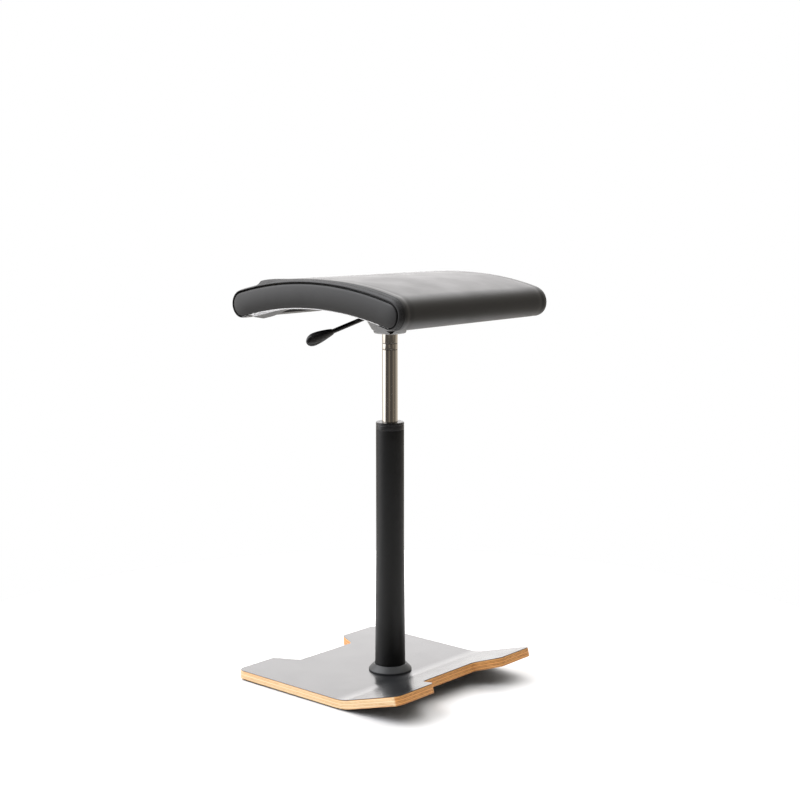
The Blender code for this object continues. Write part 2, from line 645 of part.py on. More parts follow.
def build_release_pin():
    steel = finish("pin_steel", (0.6, 0.6, 0.61), 0.3, 1)
    frame = empty("release_pin_frame", (0, 0, PIN_TOP))
    head = PIN_HEAD_DIAMETER / 2
    stem = PIN_STEM_DIAMETER / 2
    head_bottom = -PIN_HEAD_HEIGHT
    stem_bottom = head_bottom - PIN_STEM_LENGTH
    profile = [(0, 0), (head, 0), (head, head_bottom), (stem, head_bottom), (stem, stem_bottom), (0, stem_bottom)]
    piece("release_pin", turned(profile, SMALL_SIDES), steel, frame)


# Lever

def build_lever():
    steel = finish("black_lever_steel", (0.02, 0.02, 0.02), 0.4, 0)
    plastic = finish("grip_plastic", (0.025, 0.025, 0.027), 0.42, 0)
    frame = empty("lever_frame", (-PIVOT_OFFSET, 0, PIVOT_HEIGHT), (0, -LEVER_SLOPE, 0))
    inner_end = (PIVOT_OFFSET + LEVER_INNER_END) / math.cos(LEVER_SLOPE)
    grip_start = LEVER_TIP - GRIP_LENGTH
    outer_end = grip_start + GRIP_BORE_DEPTH - SEAT_GAP
    along = (0, math.pi / 2, 0)
    across = (math.pi / 2, 0, 0)
    shaft = rods([(0, 0)], LEVER_DIAMETER / 2, -outer_end, inner_end)
    lever = piece("lever_rod", shaft, steel, frame, rotation=along)
    half_boss = LEVER_BOSS_WIDTH / 2
    boss = rods([(0, 0)], LEVER_BOSS_DIAMETER / 2, -half_boss, half_boss)
    combine(lever, cutter("lever_boss_tool", boss, frame, rotation=across), "UNION")
    eye = rods([(0, 0)], PIVOT_DIAMETER / 2 + SLIDE_GAP, -LEVER_BOSS_WIDTH, LEVER_BOSS_WIDTH)
    combine(lever, cutter("lever_eye_cutter", eye, frame, rotation=across))

    grip = piece("lever_grip", loft_grip(grip_start), plastic, frame)
    bore = rods([(0, 0)], LEVER_DIAMETER / 2 + SEAT_GAP, -grip_start - GRIP_BORE_DEPTH, CUT_OVERRUN - grip_start)
    combine(grip, cutter("grip_bore_cutter", bore, frame, rotation=along))


def loft_grip(start):
    """Drop-shaped grip: a round neck that swells into a flat paddle with a rounded tip."""
    rings = []
    for i in range(GRIP_STEPS + 1):
        share = math.sin(math.pi / 2 * i / GRIP_STEPS)
        swell = smooth_step(share / GRIP_FULLEST)
        into_tip = max(share - GRIP_FULLEST, 0) / (1 - GRIP_FULLEST)
        close = math.sqrt(max(1 - into_tip ** GRIP_TIP_POWER, GRIP_TIP_FLAT))
        high = (GRIP_NECK_DIAMETER + swell * (GRIP_HEIGHT - GRIP_NECK_DIAMETER)) / 2 * close
        wide = (GRIP_NECK_DIAMETER + swell * (GRIP_WIDTH - GRIP_NECK_DIAMETER)) / 2 * close
        ring = []
        for k in range(GRIP_SIDES):
            angle = math.tau * (k + 0.5) / GRIP_SIDES
            ring.append((-start - GRIP_LENGTH * share, wide * math.cos(angle), high * math.sin(angle)))
        rings.append(ring)
    return loft(rings)


# Seat bracket

def bracket_ring(half_size, height, follow_plate=False):
    """Rounded square ring. Its height may follow the underside of the curved seat plate."""
    ring = []
    for k in range(BRACKET_SIDES):
        angle = math.tau * k / BRACKET_SIDES
        reach = abs(math.cos(angle)) ** BRACKET_SQUARENESS + abs(math.sin(angle)) ** BRACKET_SQUARENESS
        radius = half_size / reach ** (1 / BRACKET_SQUARENESS)
        x, y = radius * math.cos(angle), radius * math.sin(angle)
        ring.append((x, y, plate_underside(y) - SEAT_GAP if follow_plate else height))
    return ring


def round_ring(radius, height):
    angles = [math.tau * k / BRACKET_SIDES for k in range(BRACKET_SIDES)]
    return [(radius * math.cos(angle), radius * math.sin(angle), height) for angle in angles]


def plate_underside(y):
    """Height of the seat plate's underside at a distance behind the column axis."""
    end = FRONT if y < 0 else REAR
    radius = end.bottom_radius - SEAT_GAP - SEAT_PLATE_THICKNESS
    return PAD_BOTTOM - end.bottom_radius + math.sqrt(radius ** 2 - y ** 2)


def build_bracket():
    pressed = finish("grey_pressed_steel", (0.32, 0.32, 0.33), 0.42, 0.6)
    cast = finish("cast_hub_steel", (0.2, 0.2, 0.21), 0.5, 0.8)
    pin_steel = finish("pivot_steel", (0.6, 0.6, 0.61), 0.3, 1)
    rim_half = BRACKET_FLOOR_HALF + BRACKET_DEPTH * BRACKET_FLARE
    inner_floor_half = BRACKET_FLOOR_HALF + BRACKET_WALL * (BRACKET_FLARE - 1)
    floor_bore = HUB_DIAMETER / 2 + SEAT_GAP
    edge_height = BRACKET_BOTTOM + BRACKET_EDGE_ROUND
    edge_half = BRACKET_FLOOR_HALF + BRACKET_EDGE_ROUND * BRACKET_FLARE
    rings = [round_ring(floor_bore, BRACKET_BOTTOM),
             bracket_ring(BRACKET_FLOOR_HALF - BRACKET_EDGE_ROUND / 2, BRACKET_BOTTOM),
             bracket_ring(edge_half, edge_height),
             bracket_ring(rim_half, 0, follow_plate=True),
             bracket_ring(rim_half - BRACKET_WALL, 0, follow_plate=True),
             bracket_ring(inner_floor_half, BRACKET_FLOOR),
             round_ring(floor_bore, BRACKET_FLOOR)]
    bowl = piece("seat_bracket", loft(rings, close_path=True), pressed)
    lever_line = empty("lever_window_frame", (-PIVOT_OFFSET, 0, PIVOT_HEIGHT), (0, -LEVER_SLOPE, 0))
    window_out = rim_half
    window = rods([(0, 0)], LEVER_WINDOW_DIAMETER / 2, -window_out, 0)
    combine(bowl, cutter("lever_window_cutter", window, lever_line, rotation=(0, math.pi / 2, 0)))

    hub = piece("seat_hub", turned(hub_profile()), cast)
    lug_low = CYLINDER_TOP - LUG_DROP
    lug_high = PIVOT_HEIGHT + LUG_MARGIN
    lug_out = -PIVOT_OFFSET - LUG_MARGIN
    lug_in = LUG_ROOT - HUB_DIAMETER / 2
    outer = LUG_INNER + LUG_THICKNESS
    lugs = blocks([((lug_out, LUG_INNER, lug_low), (lug_in, outer, lug_high)),
                   ((lug_out, -outer, lug_low), (lug_in, -LUG_INNER, lug_high))])
    combine(hub, cutter("lug_tool", lugs), "UNION")
    pivot = empty("pivot_frame", (-PIVOT_OFFSET, 0, PIVOT_HEIGHT), (math.pi / 2, 0, 0))
    pin_half = outer + SEAT_GAP
    eyes = rods([(0, 0)], PIVOT_DIAMETER / 2 + SEAT_GAP, -2 * outer, 2 * outer)
    combine(hub, cutter("lug_eye_cutter", eyes, pivot))
    pin = [(0, pin_half + PIVOT_HEAD_HEIGHT), (PIVOT_HEAD_DIAMETER / 2, pin_half + PIVOT_HEAD_HEIGHT),
           (PIVOT_HEAD_DIAMETER / 2, pin_half), (PIVOT_DIAMETER / 2, pin_half),
           (PIVOT_DIAMETER / 2, -pin_half), (0, -pin_half)]
    piece("lever_pin", turned(pin, SMALL_SIDES), pin_steel, pivot)


def hub_profile():
    """Tapered socket that seats on the bracket floor and pokes through it."""
    outer = HUB_DIAMETER / 2
    shoulder = HUB_SHOULDER_DIAMETER / 2
    seat = BRACKET_FLOOR + SEAT_GAP
    wide_bore = CYLINDER_DIAMETER / 2 + SEAT_GAP
    tip_bore = TAPER_TIP_DIAMETER / 2 + SEAT_GAP
    shoulder_top = seat + HUB_SHOULDER_HEIGHT
    return [(outer, CYLINDER_TOP), (outer, shoulder_top), (shoulder, shoulder_top), (shoulder, seat),
            (outer, seat), (outer, BRACKET_BOTTOM), (wide_bore, BRACKET_BOTTOM), (wide_bore, TAPER_START),
            (tip_bore, CYLINDER_TOP)]


# Saddle, in its own frame: X across, Y backwards, Z up, with the origin on the side seams' apex

class SaddleEnd:
    """One end of the side outline: a round nose tangent to the arc above and to its own arc below."""

    def __init__(self, side, reach, nose_radius):
        self.side = side
        self.nose_radius = nose_radius
        self.forward = reach - nose_radius
        self.height = math.sqrt((TOP_RADIUS - nose_radius) ** 2 - self.forward ** 2) - TOP_RADIUS
        rise = self.height + PAD_THICKNESS
        span = self.forward ** 2 + rise ** 2 - nose_radius ** 2
        self.bottom_radius = span / (2 * (nose_radius - rise))
        self.top_angle = math.asin(self.forward / (TOP_RADIUS - nose_radius))
        self.bottom_angle = math.asin(self.forward / (self.bottom_radius + nose_radius))
        self.under_angle = math.pi + self.bottom_angle
        self.tip_angle = (self.top_angle + self.under_angle) / 2
        self.bottom_length = self.bottom_radius * self.bottom_angle

    def nose_point(self, angle, out):
        """Point on the nose, at an angle from straight up round to its underside."""
        radius = self.nose_radius + out
        return self.side * (self.forward + radius * math.sin(angle)), self.height + radius * math.cos(angle)

    def bottom_point(self, length, inset):
        """Point under the pad, at a length along the lower arc from the middle."""
        angle = length / self.bottom_radius
        radius = self.bottom_radius + inset
        return self.side * radius * math.sin(angle), radius * math.cos(angle) - PAD_THICKNESS - self.bottom_radius

    def nose_fade(self, angle):
        """Share of the crown left on the way round the nose, none where it meets the lower arc."""
        turned_share = (angle - self.top_angle) / (self.under_angle - self.top_angle)
        return 1 - turned_share ** CROWN_FADE_POWER


FRONT = SaddleEnd(1, SEAT_FRONT_REACH, FRONT_NOSE_RADIUS)
REAR = SaddleEnd(-1, SEAT_REAR_REACH, REAR_NOSE_RADIUS)


def top_point(angle, out):
    radius = TOP_RADIUS + out
    return radius * math.sin(angle), radius * math.cos(angle) - TOP_RADIUS


def spread(start, end, steps):
    return [start + (end - start) * i / steps for i in range(steps + 1)]


def in_saddle(across, outline):
    """Stand a side outline of (forward, height) points up at a distance across the seat."""
    return [(across, -forward, height) for forward, height in outline]


def crown_share(forward):
    """Share of the crown along the seat: flatter at the rear and fuller at the front."""
    rise = smooth_step((forward + REAR_CROWN_START) / (REAR_CROWN_START - REAR_CROWN_END))
    fuller = smooth_step(forward / FRONT.forward)
    return REAR_CROWN_SHARE + (1 - REAR_CROWN_SHARE) * rise + (FRONT_CROWN_SHARE - 1) * fuller


def over_the_top(crown, inset):
    """Outline from under the rear nose, over the top, to under the front nose."""
    outline = []
    for angle in spread(REAR.under_angle, REAR.top_angle, NOSE_STEPS)[:-1]:
        outline.append(REAR.nose_point(angle, crown * REAR.nose_fade(angle) * REAR_CROWN_SHARE - inset))
    for angle in spread(-REAR.top_angle, FRONT.top_angle, TOP_STEPS):
        share = crown_share(TOP_RADIUS * math.sin(angle))
        outline.append(top_point(angle, crown * share - inset))
    for angle in spread(FRONT.top_angle, FRONT.under_angle, NOSE_STEPS)[1:]:
        outline.append(FRONT.nose_point(angle, crown * FRONT.nose_fade(angle) * FRONT_CROWN_SHARE - inset))
    return outline


def under_arc(rear_length, front_length, inset, steps):
    """Points under the pad from rear to front, out to a length along each lower arc."""
    rear = [REAR.bottom_point(length, inset) for length in spread(rear_length, 0, steps // 2)]
    front = [FRONT.bottom_point(length, inset) for length in spread(0, front_length, steps // 2)]
    return rear + front[1:]


def crown_at(across):
    """Height of the crown above the side seams, steep at the seams and nearly level between."""
    share = min(abs(across) / COVER_HALF_WIDTH, 1)
    return CROWN_HEIGHT * (1 - share ** CROWN_POWER) ** (1 / CROWN_POWER)


def seat_stations(half_width):
    """Places across the seat, closer together near the seams."""
    turns = spread(-math.pi / 2, math.pi / 2, 2 * HALF_WIDTH_STEPS)
    return [half_width * math.sin(turn) for turn in turns]


def lip(end, inset):
    """Leather folded under one end of the seat, from the nose inwards."""
    lengths = spread(end.bottom_length, end.bottom_length - LIP_LENGTH, LIP_STEPS)
    return [end.bottom_point(length, inset) for length in lengths[1:]]


def cover_ring(across):
    layers = []
    for inset in (0, LEATHER):
        layers.append(lip(REAR, inset)[::-1] + over_the_top(crown_at(across), inset) + lip(FRONT, inset))
    outer, inner = layers
    return in_saddle(across, outer + inner[::-1])


def foam_ring(across):
    upper = over_the_top(crown_at(across), FOAM_INSET)
    rear_length = REAR.bottom_length - SEAT_GAP
    front_length = FRONT.bottom_length - SEAT_GAP
    lower = under_arc(rear_length, front_length, FOAM_BOTTOM, len(upper) - 1)
    return in_saddle(across, upper + lower[::-1])


def arch_sheet(rear_length, front_length, bottom, top, half_width):
    """Curved sheet on the underside of the pad, between two insets."""
    rings = []
    for across in (-half_width, half_width):
        upper = under_arc(rear_length, front_length, top, TOP_STEPS)
        lower = under_arc(rear_length, front_length, bottom, TOP_STEPS)
        rings.append(in_saddle(across, upper + lower[::-1]))
    return loft(rings)


def panel_ring(inset, across):
    """Closed side outline, drawn in from the seam, starting at the tip of the rear nose."""
    half = NOSE_STEPS // 2
    outline = [REAR.nose_point(angle, -inset) for angle in spread(REAR.tip_angle, REAR.top_angle, half)[:-1]]
    outline += [top_point(angle, -inset) for angle in spread(-REAR.top_angle, FRONT.top_angle, TOP_STEPS)]
    front_nose = spread(FRONT.top_angle, FRONT.under_angle, NOSE_STEPS)[1:-1]
    outline += [FRONT.nose_point(angle, -inset) for angle in front_nose]
    outline += under_arc(REAR.bottom_length, FRONT.bottom_length, inset, TOP_STEPS)[::-1]
    outline += [REAR.nose_point(angle, -inset) for angle in spread(REAR.under_angle, REAR.tip_angle, half)[1:-1]]
    return in_saddle(across, outline)


def side_panel(side):
    """Leather panel with a flat back and a softly rounded face."""
    face = PANEL_INNER + LEATHER
    insets = [(0, PANEL_INNER), (0, face), (PANEL_ROUND / 2, face + PANEL_BULGE * PANEL_ROUND_SHARE),
              (PANEL_ROUND * 2, face + PANEL_BULGE)]
    shape = bmesh.new()
    grid = [[shape.verts.new(point) for point in panel_ring(inset, side * across)] for inset, across in insets]
    count = len(grid[0])
    for near, far in zip(grid, grid[1:]):
        for i in range(count):
            shape.faces.new((near[i - 1], near[i], far[i], far[i - 1]))
    for ring in (grid[0], grid[-1]):
        tip_cap(shape, ring)
    return shape


def tip_cap(shape, ring):
    """Fill a ring that starts at one tip and has the other tip half way round."""
    count = len(ring)
    half = count // 2
    shape.faces.new((ring[0], ring[1], ring[-1]))
    for i in range(1, half - 1):
        shape.faces.new((ring[i], ring[i + 1], ring[count - i - 1], ring[count - i]))
    shape.faces.new((ring[half - 1], ring[half], ring[half + 1]))


def seat_bolt_frames(saddle):
    """Frames on the plate's underside, square to the arch, one for each seat bolt."""
    frames = []
    for end in (FRONT, REAR):
        angle = SEAT_BOLT_FORWARD / end.bottom_radius
        forward, height = end.bottom_point(SEAT_BOLT_FORWARD, -SEAT_GAP - SEAT_PLATE_THICKNESS)
        for across in (-SEAT_BOLT_ACROSS, SEAT_BOLT_ACROSS):
            name = f"seat_bolt_frame_{len(frames) + 1}"
            frames.append(empty(name, (across, -forward, height), (end.side * angle, 0, 0), saddle))
    return frames


def seat_bolt(shell_top):
    head = SEAT_BOLT_HEAD / 2
    shank = SEAT_BOLT_DIAMETER / 2
    tip = shell_top - SEAT_BOLT_STOP
    head_bottom = -SEAT_GAP - SEAT_BOLT_HEAD_HEIGHT
    return turned([(0, tip), (shank, tip), (shank, -SEAT_GAP), (head, -SEAT_GAP), (head, head_bottom),
                   (0, head_bottom)], SMALL_SIDES)


def tee_nut(shell_bottom, shell_top):
    bore = SEAT_BOLT_DIAMETER / 2 + BOLT_CLEARANCE
    barrel = bore + TEE_BARREL_WALL
    flange = TEE_FLANGE_DIAMETER / 2
    top = shell_top - SEAT_GAP
    shoulder = top - TEE_FLANGE_THICKNESS
    bottom = shell_bottom + SEAT_GAP
    return turned([(flange, top), (flange, shoulder), (barrel, shoulder), (barrel, bottom), (bore, bottom),
                   (bore, top)], SMALL_SIDES)


def build_saddle():
    leather = finish("black_leather", (0.035, 0.036, 0.038), 0.42, 0)
    foam_colour = finish("seat_foam", (0.75, 0.72, 0.6), 0.9, 0)
    shell_ply = finish("shell_plywood", (0.65, 0.47, 0.28), 0.6, 0)
    felt = finish("black_lining", (0.012, 0.012, 0.012), 0.95, 0)
    pressed = finish("plate_steel", (0.3, 0.3, 0.31), 0.45, 0.7)
    zinc = finish("zinc_fastener", (0.55, 0.55, 0.56), 0.35, 1)
    saddle = empty("saddle_frame", (0, 0, SADDLE_HEIGHT))

    stations = seat_stations(COVER_HALF_WIDTH)
    piece("seat_cover", loft([cover_ring(across) for across in stations]), leather, saddle)
    piece("side_panel_right", side_panel(-1), leather, saddle)
    piece("side_panel_left", side_panel(1), leather, saddle)
    piece("seat_foam", loft([foam_ring(across) for across in stations]), foam_colour, saddle)

    shell_ends = [end.bottom_length - 2 * SEAT_GAP for end in (REAR, FRONT)]
    shell_shape = arch_sheet(*shell_ends, SHELL_BOTTOM, SHELL_TOP, COVER_HALF_WIDTH)
    shell = piece("seat_shell", shell_shape, shell_ply, saddle)
    lining_ends = [end.bottom_length - LIP_LENGTH - LINING_MARGIN for end in (REAR, FRONT)]
    lining_shape = arch_sheet(*lining_ends, LINING_TOP - LINING_THICKNESS, LINING_TOP, COVER_HALF_WIDTH)
    lining = piece("underside_cover", lining_shape, felt, saddle)
    plate_ends = [SEAT_PLATE_HALF_LENGTH, SEAT_PLATE_HALF_LENGTH]
    plate_bottom = -SEAT_GAP - SEAT_PLATE_THICKNESS
    plate_shape = arch_sheet(*plate_ends, plate_bottom, -SEAT_GAP, SEAT_PLATE_HALF_WIDTH)
    plate = piece("seat_plate", plate_shape, pressed, saddle)
    window_depth = PAD_THICKNESS + BRACKET_DEPTH
    window = blocks([((-PLATE_WINDOW_HALF, -PLATE_WINDOW_HALF, -window_depth),
                      (PLATE_WINDOW_HALF, PLATE_WINDOW_HALF, -PAD_THICKNESS + CUT_OVERRUN))])
    combine(plate, cutter("plate_window_cutter", window, saddle))

    shell_bottom = SHELL_BOTTOM - plate_bottom
    shell_top = SHELL_TOP - plate_bottom
    bolt_hole = SEAT_BOLT_DIAMETER / 2 + BOLT_CLEARANCE
    barrel_hole = bolt_hole + TEE_BARREL_WALL + SEAT_GAP
    pocket_radius = TEE_FLANGE_DIAMETER / 2 + SEAT_GAP
    pocket_bottom = shell_top - 2 * SEAT_GAP - TEE_FLANGE_THICKNESS
    for number, frame in enumerate(seat_bolt_frames(saddle), start=1):
        hole = cutter(f"bolt_hole_cutter_{number}", rods([(0, 0)], bolt_hole, -CUT_OVERRUN, shell_bottom), frame)
        combine(plate, hole)
        combine(lining, hole)
        pocket = [(pocket_radius, shell_top + CUT_OVERRUN), (pocket_radius, pocket_bottom),
                  (barrel_hole, pocket_bottom), (barrel_hole, shell_bottom - SEAT_GAP),
                  (0, shell_bottom - SEAT_GAP), (0, shell_top + CUT_OVERRUN)]
        combine(shell, cutter(f"tee_pocket_cutter_{number}", turned(pocket, SMALL_SIDES), frame))
        piece(f"seat_bolt_{number}", seat_bolt(shell_top), zinc, frame)
        piece(f"tee_nut_{number}", tee_nut(shell_bottom, shell_top), zinc, frame)


def main():
    clear_scene()
    build_base()
    build_column()
    build_lift_rod()
    build_cylinder()
    build_release_pin()
    build_lever()
    build_bracket()
    build_saddle()


main()
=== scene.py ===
"""Visible pieces of a saddle stool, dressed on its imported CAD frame.

Metres, +Z up. The column stands on the origin, the sitter faces -Y, and the release lever points to -X.
The file is laid out as an add-on: each operator builds one piece or one group of like pieces.
"""
import json
import math
from collections import namedtuple

import bmesh
import bpy
from bpy.props import FloatProperty, FloatVectorProperty, PointerProperty
from mathutils import Matrix, Vector, noise


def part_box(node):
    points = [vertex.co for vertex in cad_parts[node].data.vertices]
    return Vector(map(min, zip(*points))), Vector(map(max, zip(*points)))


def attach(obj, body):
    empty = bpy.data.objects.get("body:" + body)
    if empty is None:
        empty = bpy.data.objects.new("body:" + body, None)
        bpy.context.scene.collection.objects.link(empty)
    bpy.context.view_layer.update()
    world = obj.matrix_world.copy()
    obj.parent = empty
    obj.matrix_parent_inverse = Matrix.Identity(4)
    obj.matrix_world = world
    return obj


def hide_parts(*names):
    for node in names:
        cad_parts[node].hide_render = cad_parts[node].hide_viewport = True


bl_info = {
    "name": "Saddle stool",
    "version": (1, 0, 0),
    "blender": (4, 5, 0),
    "location": "3D View > Sidebar > Stool",
    "description": "Builds the visible pieces of a saddle stool on its CAD frame",
    "category": "Object",
}

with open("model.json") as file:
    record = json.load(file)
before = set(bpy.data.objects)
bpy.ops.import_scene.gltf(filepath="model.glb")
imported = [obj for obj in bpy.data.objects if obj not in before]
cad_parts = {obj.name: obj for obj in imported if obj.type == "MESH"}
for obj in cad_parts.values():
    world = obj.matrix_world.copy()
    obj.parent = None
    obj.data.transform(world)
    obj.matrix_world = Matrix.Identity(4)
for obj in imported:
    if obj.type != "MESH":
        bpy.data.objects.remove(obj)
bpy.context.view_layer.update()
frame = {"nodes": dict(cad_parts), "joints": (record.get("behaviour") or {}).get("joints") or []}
MM = 0.001

# Fineness of the meshes
TURN_SIDES = 96
BEND_STEPS = 20
CORNER_STEPS = 10
SHOULDER_STEPS = 20
FLANK_STEPS = 20
GRIP_SIDES = 40
GRIP_STEPS = 36
BRACKET_SIDES = 128
NOSE_STEPS = 20
TOP_STEPS = 110
LIP_STEPS = 6
SEAM_STEPS = 28
SPAN_STEPS = 30
PANEL_EDGE_STEPS = 16
PANEL_RIB_STEPS = 12
BOWL_BEND_STEPS = 6
RELIEF_SIDES = 24
STITCH_SIDES = 6

# Small gaps between pieces, as in the CAD frame
SEAT_GAP = 0.3 * MM
PLATE_EDGE_GAP = 0.5 * MM

# Rounding of turned edges
TUBE_EDGE = 0.3 * MM
BUSH_EDGE = 0.5 * MM
COLLAR_EDGE = 0.4 * MM
CYLINDER_EDGE = 0.1 * MM

# The shortest edge that is rounded in full, in lengths of its rounding
EASED_EDGE = 2.5

# Cloth simulation that swells the side panels
CLOTH_MASS = 0.01
CLOTH_QUALITY = 8
CLOTH_PRESSURE = 4
SWELL_FRAMES = 20
SMOOTH_ROUNDS = 10
SMOOTH_FACTOR = 0.5

# Blender's names of the nodes used most
MATH = "ShaderNodeMath"
RANGE = "ShaderNodeMapRange"
NOISE = "ShaderNodeTexNoise"
MIX = "ShaderNodeMix"
BUMP = "ShaderNodeBump"
COORDS = "ShaderNodeTexCoord"

# Values that most of a noise texture lies between
NOISE_LOW = 0.3
NOISE_HIGH = 0.7


def linear(hex_colour):
    """Linear red, green and blue of an sRGB hex value."""
    channels = [int(hex_colour[i:i + 2], 16) / 255 for i in (1, 3, 5)]
    return [c / 12.92 if c <= 0.04045 else ((c + 0.055) / 1.055) ** 2.4 for c in channels]


def length(name, description, millimetres):
    """A length that a user would change."""
    return FloatProperty(name=name, description=description, default=millimetres * MM, unit="LENGTH",
                         precision=4)


def angle(name, description, degrees):
    """An angle that a user would change."""
    return FloatProperty(name=name, description=description, default=math.radians(degrees), subtype="ANGLE")


def number(name, description, default):
    """A plain number that a user would change."""
    return FloatProperty(name=name, description=description, default=default)


def colour(name, description, hex_colour):
    """A colour that a user would change."""
    return FloatVectorProperty(name=name, description=description, default=linear(hex_colour), size=3,
                               min=0, max=1, subtype="COLOR")


# Settings

class FootBoardSettings(bpy.types.PropertyGroup):
    """Bent plywood foot board under a dark laminate."""

    bend_start: length("Bend start", "Distance in front of the column where the board starts to bend", 35.5)
    bend_radius: length("Bend radius", "Radius of the top face in the bend", 125)
    bend_angle: angle("Bend angle", "How far the front of the board is raised", 16)
    ramp: length("Ramp", "Length of the straight raised front", 118)
    corner: length("Corner radius", "Radius of the board's corners", 15)
    notch_half_width: length("Notch half width", "Half width of the straight bottom of a notch", 66)
    notch_shoulder: length("Notch shoulder", "Width of the curve beside a notch", 34)
    notch_depth: length("Notch depth", "How far a notch reaches into the board", 47)
    ply: length("Plywood", "Thickness of the plywood", 15.5)
    laminate: length("Laminate", "Thickness of the laminate", 0.9)
    veneer: length("Veneer", "Thickness of one veneer of the plywood", 2.8)
    ease: length("Eased edge", "Width of the sanded edge of the plywood", 0.7)
    # Pale and tan on the long edges, which face the sides, and amber and brown on the end edges: partly end
    # grain darkened by lacquer, partly painted light on the sides and painted shade on the front and rear
    pale: colour("Long grain", "Veneers seen along the grain", "#E4C79C")
    tan: colour("Cross grain", "Every second veneer on the long edges", "#D2A975")
    amber: colour("End grain", "Veneers that drank the lacquer on the end edges", "#E6A963")
    brown: colour("Dark end grain", "Every second veneer on the end edges", "#9C5B27")
    glue: colour("Glue line", "Lines between the veneers", "#8A5526")
    top: colour("Laminate colour", "Dark satin laminate", "#1F2022")


class ColumnSettings(bpy.types.PropertyGroup):
    """Column tube, its bush and its collar."""

    flare: length("Flare", "Height over which the tube widens towards its foot", 240)
    foot_growth: length("Foot growth", "How much wider the tube is at its foot", 5)
    cap: length("Cap", "Height of the bush above the tube", 14)
    cap_chamfer: length("Cap chamfer", "Chamfer round the top of the bush", 1)
    groove_drop: length("Groove drop", "Distance of the thin groove below the top of the bush", 4.5)
    groove: length("Groove", "Width of the thin groove", 1)
    groove_depth: length("Groove depth", "Depth of the thin groove", 0.6)
    collar_rim: length("Collar rim", "Height of the collar's upright rim", 2.4)
    collar_top_wall: length("Collar top wall", "Thickness of the collar round the tube", 2)
    coat: colour("Powder coat", "Black coat of the tube", "#090909")
    bush: colour("Bush", "Black plastic of the bush", "#161618")
    collar: colour("Collar", "Dark grey plastic of the collar", "#2B2D2F")


class LiftSettings(bpy.types.PropertyGroup):
    """Gas lift cylinder and the parts inside it."""

    taper: length("Taper", "Length of the tapered top", 29)
    taper_drop: length("Taper drop", "How much thinner the tip of the taper is", 1.6)
    ring_depth: length("Ring depth", "Depth of the turned rings", 0.25)
    ring_width: length("Ring width", "Width of the turned rings", 1)
    first_ring: length("First ring", "Distance of the first ring below the bracket", 17)
    second_ring: length("Second ring", "Distance of the second ring below the bracket", 28)
    steel: colour("Steel", "Polished steel of the cylinder", "#CFC9BF")


class LeverSettings(bpy.types.PropertyGroup):
    """Release lever and its grip."""

    slope: angle("Slope", "Slope of the lever", 12.4)
    reach: length("Reach", "Distance of the grip's tip from the column axis", 211.5)
    rod: length("Rod", "Diameter of the rod", 8)
    grip: length("Grip", "Length of the grip", 63)
    bore: length("Bore", "Depth of the rod in the grip", 42)
    neck: length("Neck", "Diameter of the grip's neck", 11)
    high: length("Height", "Height of the grip at its fullest", 22.5)
    wide: length("Width", "Width of the grip at its fullest", 15)
    dish: length("Dish", "Depth of the hollow in each face of the grip", 1.3)
    paint: colour("Rod colour", "Black paint of the rod", "#1B1B1D")
    plastic: colour("Grip colour", "Black plastic of the grip", "#19191B")


class BracketSettings(bpy.types.PropertyGroup):
    """Pressed bowl that joins the seat to the lift."""

    floor_half: length("Floor", "Half width of the bowl's floor", 23.5)
    wall: length("Wall", "Thickness of the sheet", 2.5)
    depth: length("Depth", "Depth of the bowl below the pad", 55)
    bend: length("Bend", "Radius of the bend between floor and flank", 5)
    flare: number("Flare", "Outward run of the flank for each unit of rise", 0.46)
    squareness: number("Squareness", "2 is round, and more is squarer", 4)
    hub: length("Hub", "Diameter of the socket in the floor", 36)
    window: length("Window", "Diameter of the hole for the lever", 14)
    metal: colour("Coat", "Grey coat of the pressed steel", "#8B8B8B")


